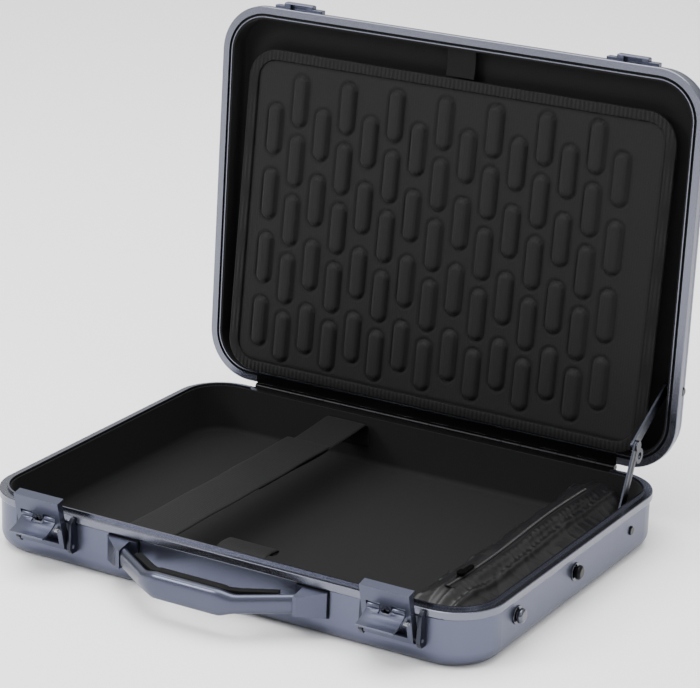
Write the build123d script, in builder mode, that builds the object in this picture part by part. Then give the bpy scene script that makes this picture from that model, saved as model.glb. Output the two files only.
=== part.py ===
from build123d import *
import os
from math import atan2, cos, degrees, hypot, radians, sin, tan

# Laptop hard case: two pressed shells in rim frames, joined by a continuous hinge and held
# open by a folding stay, with two lever latches, a carrying handle and a lined inside.
# Millimetres. +X is the right side, +Y the hinge side, +Z up. The origin is the centre of the
# underside. The case lies flat with its lid open and both latches open.

# ---- overall form ----
CASE_WIDTH = 430.0
CASE_DEPTH = 318.0
CORNER_RADIUS = 40.0
BASE_HEIGHT = 45.0          # underside to the parting plane
LID_HEIGHT = 22.0           # parting plane to the top of the lid
LID_OPEN = 93.0             # angle between the closed and the open lid, degrees
FRAME_GAP = 0.3             # between the two rims when the lid is closed
FIT = 0.05                  # radial or side clearance of a fixed fit
RUNNING = 0.05              # radial clearance of a pin in a moving part
CLEAR = 0.3                 # between pieces that pass each other

# ---- shells ----
SHELL_INSET = 1.8           # the rim stands this far proud of the shell
SHELL_WALL = 1.6
BASE_EDGE_RADIUS = 12.0
LID_EDGE_RADIUS = 9.0

# ---- rim frames, insets are measured inwards from the rim's outer face ----
SKIRT = 6.5                 # height of the rim's outer face
SHELL_SEAT = 3.0            # the shell edge stops this far from the rim's face
RIM_LOWER_ROUND = 1.4
RIM_UPPER_ROUND = 0.5
TONGUE_OUTER = 6.3
TONGUE_INNER = 7.7
TONGUE_HEIGHT = 1.8
GROOVE_CLEAR = 0.4
GROOVE_DEPTH = 2.3
LID_LIP = 0.9               # wall inside the lid's groove
LID_RIM_INNER = TONGUE_INNER + GROOVE_CLEAR + LID_LIP

# ---- linings ----
LINING_WALL = 1.2
LINING_FLOOR = 2.5
LINING_DROP = 0.3           # below the rim's face
LINING_BACKING = SHELL_INSET + SHELL_WALL + 0.2
CAVITY_ROUND = 5.0
LINING_BEVEL_EASE = 1.2     # the lining's hidden bevel is this much under the shell's round
BASE_CAVITY = TONGUE_INNER + 0.2 + LINING_WALL
LID_CAVITY = LID_RIM_INNER + 0.2 + LINING_WALL
FLOOR_TOP = SHELL_WALL + 0.1 + LINING_FLOOR
LID_CEILING = LID_HEIGHT - SHELL_WALL - 0.1 - LINING_FLOOR

# ---- continuous hinge ----
HINGE_FROM_CORNER = 8.0     # hinge end to the start of the rounded corner
HINGE_LENGTH = CASE_WIDTH - 2 * CORNER_RADIUS - 2 * HINGE_FROM_CORNER
KNUCKLES = 20
KNUCKLE_RADIUS = 2.6
HINGE_PIN_RADIUS = 1.2
LEAF = 1.2
HINGE_REACH = KNUCKLE_RADIUS + CLEAR
HINGE_RIVETS = 9
HINGE_RIVET_RADIUS = 1.6
HINGE_RIVET_LENGTH = 1.7
HINGE_RIVET_INSET = 4.9

HINGE_Y = CASE_DEPTH / 2 + HINGE_REACH
HINGE_Z = BASE_HEIGHT + FRAME_GAP / 2
LID_UP = Vector(0, sin(radians(LID_OPEN)), cos(radians(LID_OPEN)))
LID_BACK = Vector(0, cos(radians(LID_OPEN)), -sin(radians(LID_OPEN)))
HINGE_POINT = Vector(0, HINGE_Y, HINGE_Z)
# The open lid's own plane: its x, y and z are those of the closed lid above the parting plane.
LID = Plane(
    origin=HINGE_POINT - LID_BACK * HINGE_Y - LID_UP * (FRAME_GAP / 2),
    x_dir=(1, 0, 0),
    z_dir=LID_UP,
)
LID_AXIS = Axis(LID.origin, LID_UP)

# ---- keepers on the lid ----
KEEPER_WIDTH = 44.0
KEEPER_LOW = SKIRT + FRAME_GAP + 0.2
KEEPER_RISE = 6.2
KEEPER_HIGH = KEEPER_LOW + KEEPER_RISE
KEEPER_PLATE = 3.4
KEEPER_BLOCK = 27.0
KEEPER_HEIGHT = 6.4
KEEPER_POCKET = 15.0

# ---- lever latches, left and right ----
SHELL_FRONT = -CASE_DEPTH / 2 + SHELL_INSET
LATCH_WIDTH = 50.0
LATCH_FROM_CORNER = 1.0
LATCH_X = CASE_WIDTH / 2 - CORNER_RADIUS - LATCH_FROM_CORNER - LATCH_WIDTH / 2
LATCH_PLATE = 1.7
LATCH_TAIL = 5.5            # latch base below the lever's pivot
CHEEK = 3.2
CHEEK_REACH = 9.0           # cheek depth from the shell's face
CHEEK_TOP = BASE_HEIGHT - 1.0
LEVER_WIDTH = 40.0
LEVER_PIVOT_Y = SHELL_FRONT - 5.2
LEVER_PIVOT_DROP = 23.5     # pivot below the parting plane
LEVER_PIVOT_Z = BASE_HEIGHT - LEVER_PIVOT_DROP
LATCH_BOTTOM = LEVER_PIVOT_Z - LATCH_TAIL
LEVER_PIN_RADIUS = 1.5
LEVER_EYE = 3.4             # radius of the lever's lower ears
LEVER_SKIN = 1.6
LEVER_DEPTH = 8.2           # lever face to the back of its top flange
LEVER_WALL = 5.8            # lever face to the back of its side walls
LEVER_FACE = 4.4            # lever face in front of the pivot
LEVER_CATCH = 0.9           # between the lever's top flange and its keeper
LEVER_HEIGHT = LEVER_PIVOT_DROP + KEEPER_HIGH + LEVER_CATCH + LEVER_SKIN
LEVER_OPEN = 13.0           # outward lean in the open state, degrees
WINDOW_WIDTH = 31.4
WINDOW_TOP = 27.0
WINDOW_BOTTOM = 3.0
TUBE_HEIGHT = 22.6          # flap axis above the lever pivot
TUBE_RADIUS = 2.6
TUBE_OUT = 2.2              # flap axis in front of the lever pivot
FLAP_PIN_RADIUS = 0.9
FLAP_LENGTH = 20.5
FLAP_SKIN = 1.7
FLAP_DISH = 1.6             # hollow of the flap's outer face
FLAP_RISE = 0.6             # ends of the flap's outer face above its axis
FLAP_OPEN = 76.0            # lift of the flap in the open state, degrees
LOCK_RADIUS = 3.4
LOCK_COLLAR = 4.6
LOCK_LENGTH = 6.4
LOCK_KEYWAY = 2.2

# ---- handle ----
MOUNT_NEAR = 68.5           # mount end beside the handle
MOUNT_FAR = 94.5
MOUNT_HEIGHT = 19.8
MOUNT_REACH = 16.0
MOUNT_FOOT = 2.0
MOUNT_NOSE = 3.0
GASKET = 1.0
GASKET_LIP = 0.7
MOUNT_BELOW_RIM = 0.5       # gasket edge below the rim
HANDLE_Z = BASE_HEIGHT - SKIRT - MOUNT_BELOW_RIM - GASKET_LIP - MOUNT_HEIGHT / 2
HANDLE_AXIS_OUT = 11.6      # handle axis in front of the shell's face
HANDLE_PIN_RADIUS = 2.0
HANDLE_PIN_INSET = 7.0
GRIP_HALF = 33.0            # half length of the straight grip
GRIP_OUT = 40.5             # grip centre line in front of the shell's face
GRIP_THICK = 7.6
GRIP_CHAMFER = 2.0
GRIP_HEIGHT = 20.0
ARM_HEIGHT = 14.5
ARM_END = 74.0              # where the arm meets its mount
ARM_SWELL = 6.0             # length over which the grip grows taller than its arms
ARM_EYE_LENGTH = 9.0
HANDLE_RUN_OUT = 12.0
GRIP_BEND = 12.0
PAD_THICK = 2.6
PAD_HEIGHT = 15.0
PAD_ARM_HEIGHT = 10.0
PAD_END = 62.0
ARM_GAP = 0.5

# ---- right side studs ----
STUD_FROM_CORNER = 24.0
STUD_SPACING = 93.0
STUD_DROP = 18.5            # below the parting plane
STUD_FRONT_Y = -CASE_DEPTH / 2 + CORNER_RADIUS + STUD_FROM_CORNER
STUD_MIDDLE_Y = STUD_FRONT_Y + STUD_SPACING
STUD_Z = BASE_HEIGHT - STUD_DROP
STUD_WASHER_RADIUS = 7.0
STUD_WASHER = 1.0
STUD_HEAD_RADIUS = 5.6
STUD_HEAD = 3.4
STUD_CROWN = 0.7            # share of the head's height that is rounded
STUD_NECK_RADIUS = 3.2
STUD_NECK = 1.6
STUD_POST_RADIUS = 2.2

# ---- folding lid stay, on the right ----
STAY_PLATE = 1.8
STAY_SIDE_GAP = 2.2         # outer link to the lid's lining
STAY_LOWER_X = CASE_WIDTH / 2 - LID_CAVITY - STAY_SIDE_GAP - STAY_PLATE
STAY_UPPER_X = STAY_LOWER_X - CLEAR - STAY_PLATE
STAY_WIDTH = 9.0
STAY_RIVET_RADIUS = 2.0
STAY_HEAD_RADIUS = 4.2
STAY_SHELL_HEAD_RADIUS = 3.6
STAY_HEAD = 1.4
STAY_SPACER_RADIUS = 3.4
STAY_BASE_FROM_HINGE = 67.9
STAY_BASE_DROP = 19.0
STAY_BASE_Y = HINGE_Y - STAY_BASE_FROM_HINGE
STAY_BASE_Z = BASE_HEIGHT - STAY_BASE_DROP
STAY_LID_FROM_HINGE = 69.7
STAY_LID_HEIGHT = KEEPER_LOW + STAY_SHELL_HEAD_RADIUS
STAY_LOWER_LENGTH = 63.9
STAY_UPPER_LENGTH = 62.6
STAY_TAIL_LENGTH = 15.0
STAY_TAIL_ANGLE = -49.5
STAY_TAIL_RADIUS = 6.2
STAY_TAIL_HOLE = 2.9

# ---- soft fittings in the base ----
STRAP_X = -68.0
STRAP_WIDTH = 41.0
STRAP_THICK = 1.6
STRAP_SAG = 1.5
STRAP_DROP = 7.8            # rear strap below the parting plane where it bridges the bay
STRAP_LEVEL = BASE_HEIGHT - STRAP_DROP
STRAP_FREE_END = CASE_DEPTH / 2 - 75.0
STRAP_REAR_END = CASE_DEPTH / 2 - 179.0
STRAP_REAR_WIDTH = 37.0
STRAP_FOOT_Z = BASE_HEIGHT - 26.0
STRAP_ROUND = 1.6           # radius of a strap's turns
STRAP_SHOULDER = 10.0       # where a strap leaves the wall and levels off
STRAP_DIP = 70.0            # wall to the lowest point of the rear strap
STRAP_LIFT = 1.5
TAB_X = 12.0
TAB_WIDTH = 42.0
TAB_LEVEL = BASE_HEIGHT - 5.0
TAB_RISE = 5.0
TAB_REACH = 24.0
TAB_HEM = 10.0
TAB_THICK = 4.4
POUCH_WIDTH = 56.5
POUCH_SIDE_GAP = 10.4       # room for the folded stay
POUCH_FRONT_GAP = 8.9
POUCH_REAR_GAP = 9.9
POUCH_BELOW_RIM = 0.5
POUCH_RIGHT = CASE_WIDTH / 2 - BASE_CAVITY - POUCH_SIDE_GAP
POUCH_LEFT = POUCH_RIGHT - POUCH_WIDTH
POUCH_FRONT = -CASE_DEPTH / 2 + BASE_CAVITY + POUCH_FRONT_GAP
POUCH_REAR = CASE_DEPTH / 2 - BASE_CAVITY - POUCH_REAR_GAP
POUCH_TOP = BASE_HEIGHT - POUCH_BELOW_RIM
POUCH_ROUND = 11.0
ZIP_FROM_LEFT = 27.0
ZIP_WIDTH = 7.0
ZIP_END = 28.5              # pouch end to the end of the zip
ZIP_X = POUCH_LEFT + ZIP_FROM_LEFT
ZIP_FRONT = POUCH_FRONT + ZIP_END
ZIP_REAR = POUCH_REAR - ZIP_END
ZIP_TAPE = 1.0
ZIP_TEETH = 3.0
ZIP_TEETH_HEIGHT = 0.7
SLIDER_FROM_END = 20.5
SLIDER_Y = ZIP_FRONT + SLIDER_FROM_END
SLIDER_LENGTH = 9.0
SLIDER_WIDTH = 6.0
SLIDER_HEIGHT = 2.2
SLIDER_PULL = 16.0

# ---- padded sleeve in the lid ----
SLEEVE_SIDE_GAP = 12.6
SLEEVE_TOP_GAP = 24.6
SLEEVE_BOTTOM_GAP = 2.1
SLEEVE_WIDTH = CASE_WIDTH - 2 * LID_CAVITY - 2 * SLEEVE_SIDE_GAP
SLEEVE_TOP_Y = -CASE_DEPTH / 2 + LID_CAVITY + SLEEVE_TOP_GAP
SLEEVE_BOTTOM_Y = CASE_DEPTH / 2 - LID_CAVITY - SLEEVE_BOTTOM_GAP
SLEEVE_TOP_DEPTH = 8.4      # front face behind the parting plane, at the top
SLEEVE_BOTTOM_DEPTH = -7.5
SLEEVE_THICK = 5.0
SLEEVE_RADIUS = 26.0
BINDING_WIDTH = 9.0
BINDING_PROUD = 1.4
PILL_WIDTH = 14.0
PILL_END_GAP = 8.4          # between the pads of one column
PILL_PROUD = 2.2
PILL_SIDES = 5              # facets at each round end of a pad
PILL_SLOPE = 1.8            # the pad's flanks lean in by this much
PILL_FROM_LEFT = 12.8       # binding to the first pad
PILL_FROM_RIGHT = 22.8
PILL_FROM_TOP = 4.7
PILL_FROM_BOTTOM = 9.2
OUTER_COLUMNS = 8
OUTER_ROWS = 4
OUTER_INSET = 17.8          # the columns of four start this much further in
INNER_COLUMNS = 7
INNER_ROWS = 5
LOOP_WIDTH = 25.0
LOOP_THICK = 1.4
LOOP_X = 1.0


def outline(inset, mode=Mode.ADD):
    """The rounded plan of the case, drawn in by inset from the rim's outer face."""
    RectangleRounded(
        CASE_WIDTH - 2 * inset, CASE_DEPTH - 2 * inset, CORNER_RADIUS - inset, mode=mode
    )


def plate(plane, inset, height, mode=Mode.ADD):
    """Add or cut a plate with the case's plan to the part being built."""
    with BuildSketch(plane) as shape:
        outline(inset)
    extrude(shape.sketch, amount=height, mode=mode)


def band(plane, outer, inner, height, mode=Mode.ADD):
    """Add or cut a band between two insets of the case's plan."""
    with BuildSketch(plane) as shape:
        outline(outer)
        outline(inner, mode=Mode.SUBTRACT)
    extrude(shape.sketch, amount=height, mode=mode)


def block(plane, x, y, width, depth, height, mode=Mode.ADD):
    """Add or cut a rectangular block that stands on a plane, centred on x and y."""
    with BuildSketch(plane) as shape:
        with Locations((x, y)):
            Rectangle(width, depth)
    extrude(shape.sketch, amount=height, mode=mode)


def side_plane(x):
    """A plane facing +X whose local x is +Y and local y is +Z."""
    return Plane(origin=(x, 0, 0), x_dir=(0, 1, 0), z_dir=(1, 0, 0))


def save(part, name):
    """Label a finished piece and write it."""
    part.label = name
    export_step(part, f"parts/{name}.step")


# ---------------------------------------------------------------- shells and rims


def make_base_shell():
    with BuildPart() as base_shell:
        plate(Plane.XY, SHELL_INSET, BASE_HEIGHT - SHELL_SEAT)
        fillet(base_shell.faces().sort_by(Axis.Z)[0].edges(), radius=BASE_EDGE_RADIUS)
        offset(amount=-SHELL_WALL, openings=base_shell.faces().sort_by(Axis.Z)[-1])
        with BuildSketch(side_plane(CASE_WIDTH / 2 - 6)):
            with Locations((STUD_FRONT_Y, STUD_Z), (STUD_MIDDLE_Y, STUD_Z)):
                Circle(STUD_POST_RADIUS + FIT)
            with Locations((STAY_BASE_Y, STAY_BASE_Z)):
                Circle(STAY_RIVET_RADIUS + FIT)
        extrude(amount=6, mode=Mode.SUBTRACT)
    save(base_shell.part, "base_shell")


def make_lid_shell():
    edge = FRAME_GAP + SHELL_SEAT
    with BuildPart() as lid_shell:
        plate(LID.offset(edge), SHELL_INSET, LID_HEIGHT - edge)
        fillet(lid_shell.faces().sort_by(LID_AXIS)[-1].edges(), radius=LID_EDGE_RADIUS)
        offset(amount=-SHELL_WALL, openings=lid_shell.faces().sort_by(LID_AXIS)[0])
        with BuildSketch(lid_side_plane(CASE_WIDTH / 2 - 6)):
            with Locations((HINGE_Y - STAY_LID_FROM_HINGE, STAY_LID_HEIGHT)):
                Circle(STAY_RIVET_RADIUS + FIT)
        extrude(amount=6, mode=Mode.SUBTRACT)
    save(lid_shell.part, "lid_shell")


def lid_side_plane(x):
    """A plane facing +X on the lid, with the closed lid's depth and height as its axes."""
    return Plane(origin=LID.origin + Vector(x, 0, 0), x_dir=LID_BACK, z_dir=(1, 0, 0))


def make_base_frame():
    low = BASE_HEIGHT - SKIRT
    with BuildPart() as base_frame:
        plate(Plane.XY.offset(low), 0, SKIRT)
        fillet(base_frame.edges().group_by(Axis.Z)[0], radius=RIM_LOWER_ROUND)
        chamfer(base_frame.edges().group_by(Axis.Z)[-1], length=RIM_UPPER_ROUND)
        plate(Plane.XY.offset(BASE_HEIGHT), TONGUE_OUTER, TONGUE_HEIGHT)
        plate(Plane.XY.offset(low), TONGUE_INNER, SKIRT + TONGUE_HEIGHT, Mode.SUBTRACT)
        band(
            Plane.XY.offset(low),
            SHELL_INSET - FIT,
            SHELL_INSET + SHELL_WALL + FIT,
            SKIRT - SHELL_SEAT,
            Mode.SUBTRACT,
        )
        hinge_notch(Plane.XY.offset(BASE_HEIGHT - LEAF), LEAF + TONGUE_HEIGHT)
        rivet_holes(Plane.XY.offset(BASE_HEIGHT - LEAF - HINGE_RIVET_LENGTH), HINGE_RIVET_LENGTH)
    save(base_frame.part, "base_frame")


def make_lid_frame():
    with BuildPart() as lid_frame:
        plate(LID.offset(FRAME_GAP), 0, SKIRT)
        fillet(lid_frame.edges().group_by(LID_AXIS)[-1], radius=RIM_LOWER_ROUND)
        chamfer(lid_frame.edges().group_by(LID_AXIS)[0], length=RIM_UPPER_ROUND)
        plate(LID.offset(FRAME_GAP), LID_RIM_INNER, SKIRT, Mode.SUBTRACT)
        band(
            LID.offset(FRAME_GAP),
            TONGUE_OUTER - GROOVE_CLEAR,
            TONGUE_INNER + GROOVE_CLEAR,
            GROOVE_DEPTH,
            Mode.SUBTRACT,
        )
        band(
            LID.offset(FRAME_GAP + SHELL_SEAT),
            SHELL_INSET - FIT,
            SHELL_INSET + SHELL_WALL + FIT,
            SKIRT - SHELL_SEAT,
            Mode.SUBTRACT,
        )
        hinge_notch(LID.offset(FRAME_GAP), LEAF)
        rivet_holes(LID.offset(FRAME_GAP + LEAF), HINGE_RIVET_LENGTH)
    save(lid_frame.part, "lid_frame")


def hinge_notch(plane, height):
    """Cut the rear rim down where a hinge leaf lies in it."""
    depth = LID_RIM_INNER + 1
    block(
        plane, 0, CASE_DEPTH / 2 - depth / 2 + 0.5, HINGE_LENGTH + 2 * FIT, depth + 1, height,
        Mode.SUBTRACT,
    )


def rivet_row():
    """The places of the hinge rivets along one leaf."""
    spacing = HINGE_LENGTH / HINGE_RIVETS
    return [
        ((i - (HINGE_RIVETS - 1) / 2) * spacing, CASE_DEPTH / 2 - HINGE_RIVET_INSET)
        for i in range(HINGE_RIVETS)
    ]


def rivet_holes(plane, height, clearance=FIT, mode=Mode.SUBTRACT):
    """Cut, or add, one round for each hinge rivet."""
    with BuildSketch(plane) as shape:
        with Locations(*rivet_row()):
            Circle(HINGE_RIVET_RADIUS + clearance)
    extrude(shape.sketch, amount=height, mode=mode)


# ---------------------------------------------------------------- linings


def make_base_lining():
    backing_top = BASE_HEIGHT - SKIRT - 0.2
    bottom = SHELL_WALL + 0.1
    with BuildPart() as base_lining:
        plate(Plane.XY.offset(bottom), LINING_BACKING, backing_top - bottom)
        chamfer(
            base_lining.faces().sort_by(Axis.Z)[0].edges(),
            length=BASE_EDGE_RADIUS - SHELL_WALL - LINING_BEVEL_EASE,
        )
        plate(
            Plane.XY.offset(backing_top), TONGUE_INNER + 0.2, BASE_HEIGHT - LINING_DROP - backing_top
        )
        with BuildPart(mode=Mode.PRIVATE) as cavity:
            plate(Plane.XY.offset(FLOOR_TOP), BASE_CAVITY, BASE_HEIGHT)
            fillet(cavity.faces().sort_by(Axis.Z)[0].edges(), radius=CAVITY_ROUND)
        add(cavity.part, mode=Mode.SUBTRACT)
        with BuildSketch(side_plane(CASE_WIDTH / 2 - BASE_CAVITY - 1)):
            with Locations((STAY_BASE_Y, STAY_BASE_Z)):
                Circle(STAY_RIVET_RADIUS + CLEAR)
        extrude(amount=BASE_CAVITY, mode=Mode.SUBTRACT)
    save(base_lining.part, "base_lining")


def make_lid_lining():
    low = FRAME_GAP + SKIRT + 0.2
    top = LID_HEIGHT - SHELL_WALL - 0.1
    edge = FRAME_GAP + 0.5
    with BuildPart() as lid_lining:
        plate(LID.offset(low), LINING_BACKING, top - low)
        chamfer(
            lid_lining.faces().sort_by(LID_AXIS)[-1].edges(),
            length=LID_EDGE_RADIUS - SHELL_WALL - LINING_BEVEL_EASE,
        )
        plate(LID.offset(edge), LID_RIM_INNER + 0.2, low - edge)
        plate(LID.offset(edge), LID_CAVITY, LID_CEILING - edge, Mode.SUBTRACT)
        with BuildSketch(lid_side_plane(CASE_WIDTH / 2 - LID_CAVITY - 1)):
            with Locations((HINGE_Y - STAY_LID_FROM_HINGE, STAY_LID_HEIGHT)):
                Circle(STAY_RIVET_RADIUS + CLEAR)
        extrude(amount=LID_CAVITY, mode=Mode.SUBTRACT)
    save(lid_lining.part, "lid_lining")


# ---------------------------------------------------------------- continuous hinge


def hinge_leaf(plane, first, leaf_low):
    """One leaf and its knuckles; every second knuckle belongs to the other leaf."""
    pitch = HINGE_LENGTH / KNUCKLES
    length = pitch - CLEAR
    axis_height = FRAME_GAP / 2
    leaf_depth = TONGUE_INNER
    block(
        plane.offset(leaf_low), 0, CASE_DEPTH / 2 - leaf_depth / 2, HINGE_LENGTH, leaf_depth, LEAF
    )
    for i in range(first, KNUCKLES, 2):
        centre = (i - (KNUCKLES - 1) / 2) * pitch
        block(
            plane.offset(leaf_low), centre, CASE_DEPTH / 2 + HINGE_REACH / 2 - 0.5, length,
            HINGE_REACH + 1, LEAF,
        )
        knuckle = Plane(
            origin=plane.from_local_coords((centre - length / 2, HINGE_Y, axis_height)),
            x_dir=plane.y_dir,
            z_dir=(1, 0, 0),
        )
        with BuildSketch(knuckle) as barrel:
            Circle(KNUCKLE_RADIUS)
        extrude(barrel.sketch, amount=length)
    bore = Plane(
        origin=plane.from_local_coords((-HINGE_LENGTH / 2, HINGE_Y, axis_height)),
        x_dir=plane.y_dir,
        z_dir=(1, 0, 0),
    )
    with BuildSketch(bore) as hole:
        Circle(HINGE_PIN_RADIUS + RUNNING)
    extrude(hole.sketch, amount=HINGE_LENGTH, mode=Mode.SUBTRACT)


def make_hinge():
    parting = Plane.XY.offset(BASE_HEIGHT)
    with BuildPart() as leaf_base:
        hinge_leaf(parting, 0, -LEAF)
        rivet_holes(parting.offset(-LEAF), LEAF)
    save(leaf_base.part, "hinge_leaf_base")
    with BuildPart() as leaf_lid:
        hinge_leaf(LID, 1, FRAME_GAP)
        rivet_holes(LID.offset(FRAME_GAP), LEAF)
    save(leaf_lid.part, "hinge_leaf_lid")
    with BuildPart() as pin:
        with BuildSketch(Plane(origin=(-HINGE_LENGTH / 2, HINGE_Y, HINGE_Z), z_dir=(1, 0, 0))):
            Circle(HINGE_PIN_RADIUS)
        extrude(amount=HINGE_LENGTH - CLEAR)
    save(pin.part, "hinge_pin")
    with BuildPart() as rivets_base:
        rivet_holes(
            parting.offset(-LEAF - HINGE_RIVET_LENGTH), LEAF + HINGE_RIVET_LENGTH, 0, Mode.ADD
        )
    save(rivets_base.part, "hinge_rivets_base")
    with BuildPart() as rivets_lid:
        rivet_holes(LID.offset(FRAME_GAP), LEAF + HINGE_RIVET_LENGTH, 0, Mode.ADD)
    save(rivets_lid.part, "hinge_rivets_lid")


# ---------------------------------------------------------------- lever latches


def lever_plane(x):
    """The lever's own plane: local y runs up the open lever, local z points outwards."""
    lean = radians(LEVER_OPEN)
    return Plane(
        origin=(x, LEVER_PIVOT_Y, LEVER_PIVOT_Z), x_dir=(1, 0, 0), z_dir=(0, -cos(lean), -sin(lean))
    )


def flap_plane(x):
    """The open flap's plane on its axis: local y points back along the flap, z is its face."""
    lever = lever_plane(x)
    origin = lever.from_local_coords((0, TUBE_HEIGHT, TUBE_OUT))
    back = lever.y_dir.rotate(Axis.X, -FLAP_OPEN)
    return Plane(origin=origin, x_dir=(1, 0, 0), z_dir=Vector(1, 0, 0).cross(back))


def rod(plane, x, y, z, length, radius, mode=Mode.ADD):
    """Add or cut a round rod along X, from local x, at local y and z of a plane."""
    face = Plane(origin=plane.from_local_coords((x, y, z)), x_dir=plane.y_dir, z_dir=(1, 0, 0))
    with BuildSketch(face) as shape:
        Circle(radius)
    extrude(shape.sketch, amount=length, mode=mode)


def make_latch_base(x, side):
    """Back plate and two cheeks that carry the lever's pin."""
    top = BASE_HEIGHT - SKIRT - 0.3
    inner = LATCH_WIDTH / 2 - CHEEK
    with BuildPart() as latch_base:
        with BuildSketch(Plane(origin=(x, SHELL_FRONT, 0), x_dir=(1, 0, 0), z_dir=(0, -1, 0))):
            with Locations((0, (LATCH_BOTTOM + top) / 2)):
                Rectangle(LATCH_WIDTH, top - LATCH_BOTTOM)
        extrude(amount=LATCH_PLATE)
        for cheek_x in (x - LATCH_WIDTH / 2, x + inner):
            with BuildSketch(side_plane(cheek_x)):
                with BuildLine():
                    front = SHELL_FRONT - CHEEK_REACH
                    rim = -CASE_DEPTH / 2 - CLEAR
                    Polyline(
                        (SHELL_FRONT, LATCH_BOTTOM),
                        (front + 3, LATCH_BOTTOM),
                        (front, LATCH_BOTTOM + 4),
                        (front + 1.5, CHEEK_TOP - 3),
                        (rim - 2, CHEEK_TOP),
                        (rim, CHEEK_TOP),
                        (rim, top),
                        (SHELL_FRONT, top),
                        close=True,
                    )
                make_face()
            extrude(amount=CHEEK)
        pivot = Plane.XY
        rod(
            pivot, x - LATCH_WIDTH / 2, LEVER_PIVOT_Y, LEVER_PIVOT_Z, LATCH_WIDTH,
            LEVER_PIN_RADIUS + FIT, Mode.SUBTRACT,
        )
    save(latch_base.part, f"latch_base_{side}")
    with BuildPart() as pin:
        rod(
            pivot, x - LATCH_WIDTH / 2, LEVER_PIVOT_Y, LEVER_PIVOT_Z, LATCH_WIDTH, LEVER_PIN_RADIUS
        )
    save(pin.part, f"latch_pin_{side}")


def make_lever(x, side):
    """Tray-shaped lever: face with a window, top hook flange, tapered side walls and ears."""
    plane = lever_plane(x)
    half = LEVER_WIDTH / 2
    back = LEVER_FACE - LEVER_DEPTH
    with BuildPart() as lever:
        block(
            plane.offset(LEVER_FACE - LEVER_SKIN), 0, LEVER_HEIGHT / 2 - 0.6, LEVER_WIDTH,
            LEVER_HEIGHT + 1.2, LEVER_SKIN,
        )
        block(
            plane.offset(back), 0, LEVER_HEIGHT - LEVER_SKIN / 2, LEVER_WIDTH, LEVER_SKIN,
            LEVER_DEPTH,
        )
        for wall_x in (-half, half - LEVER_SKIN):
            wall = Plane(
                origin=plane.from_local_coords((wall_x, 0, 0)), x_dir=plane.y_dir, z_dir=(1, 0, 0)
            )
            with BuildSketch(wall) as profile:
                with BuildLine():
                    Polyline(
                        (-1.2, LEVER_FACE),
                        (LEVER_HEIGHT, LEVER_FACE),
                        (LEVER_HEIGHT, LEVER_FACE - LEVER_WALL),
                        (LEVER_HEIGHT - 13, LEVER_FACE - LEVER_WALL),
                        (0, -LEVER_EYE),
                        close=True,
                    )
                make_face()
                Circle(LEVER_EYE)
            extrude(profile.sketch, amount=LEVER_SKIN)
        block(
            plane, 0, (WINDOW_TOP + WINDOW_BOTTOM) / 2, WINDOW_WIDTH, WINDOW_TOP - WINDOW_BOTTOM,
            LEVER_FACE + 1, Mode.SUBTRACT,
        )
        # set-back plate under the flap, with a slot beside the right wall for the spring
        block(plane.offset(-2.4), -2.6, 8.4, LEVER_WIDTH - 8.4, 14.8, 1.2)
        block(plane.offset(-2.4), 0, 0.6, LEVER_WIDTH - 2 * FIT, 2.4, LEVER_FACE + 2.4)
        block(plane.offset(-2.8), -9.5, 5.6, 6.5, 1.8, 3, Mode.SUBTRACT)
        # lock collar hanging from the window's head
        with BuildSketch(plane.offset(-1.2)) as lug:
            with Locations((0, TUBE_HEIGHT)):
                Circle(LOCK_COLLAR)
            with Locations((0, (TUBE_HEIGHT + WINDOW_TOP + 1) / 2)):
                Rectangle(2 * LOCK_COLLAR, WINDOW_TOP + 1 - TUBE_HEIGHT)
        extrude(lug.sketch, amount=LEVER_FACE + 1.2)
        rod(plane, -half, TUBE_HEIGHT, TUBE_OUT, LEVER_WIDTH, FLAP_PIN_RADIUS + FIT, Mode.SUBTRACT)
        with BuildSketch(plane.offset(-1.2 - 1)) as bore:
            with Locations((0, TUBE_HEIGHT)):
                Circle(LOCK_RADIUS + RUNNING)
        extrude(bore.sketch, amount=LEVER_FACE + 4, mode=Mode.SUBTRACT)
        rod(plane, -half, 0, 0, LEVER_WIDTH, LEVER_PIN_RADIUS + RUNNING, Mode.SUBTRACT)
    save(lever.part, f"latch_lever_{side}")


def make_flap(x, side):
    """Dished thumb flap with two tube halves that turn on stub pins beside the lock."""
    plane = flap_plane(x)
    half = WINDOW_WIDTH / 2 - CLEAR
    inner = LOCK_COLLAR + CLEAR
    with BuildPart() as flap:
        profile_plane = Plane(
            origin=plane.from_local_coords((-half, 0, 0)), x_dir=plane.y_dir, z_dir=(1, 0, 0)
        )
        with BuildSketch(profile_plane) as profile:
            with BuildLine():
                outer = ThreePointArc(
                    (0, FLAP_RISE), (-FLAP_LENGTH / 2, FLAP_RISE - FLAP_DISH), (-FLAP_LENGTH, FLAP_RISE)
                )
                inner_start = (-FLAP_LENGTH, FLAP_RISE - FLAP_SKIN)
                inner_middle = (-FLAP_LENGTH / 2, FLAP_RISE - FLAP_DISH - FLAP_SKIN)
                under = ThreePointArc(inner_start, inner_middle, (0, FLAP_RISE - FLAP_SKIN))
                Line(outer @ 1, under @ 0)
                Line(under @ 1, outer @ 0)
            make_face()
            Circle(TUBE_RADIUS)
        extrude(profile.sketch, amount=2 * half)
        block(plane.offset(-6), 0, 0, 2 * inner, 2 * (LOCK_COLLAR + 1.2), 12, Mode.SUBTRACT)
        rod(plane, -half - 1, 0, 0, 2 * half + 2, FLAP_PIN_RADIUS + RUNNING, Mode.SUBTRACT)
    save(flap.part, f"latch_flap_{side}")


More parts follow.
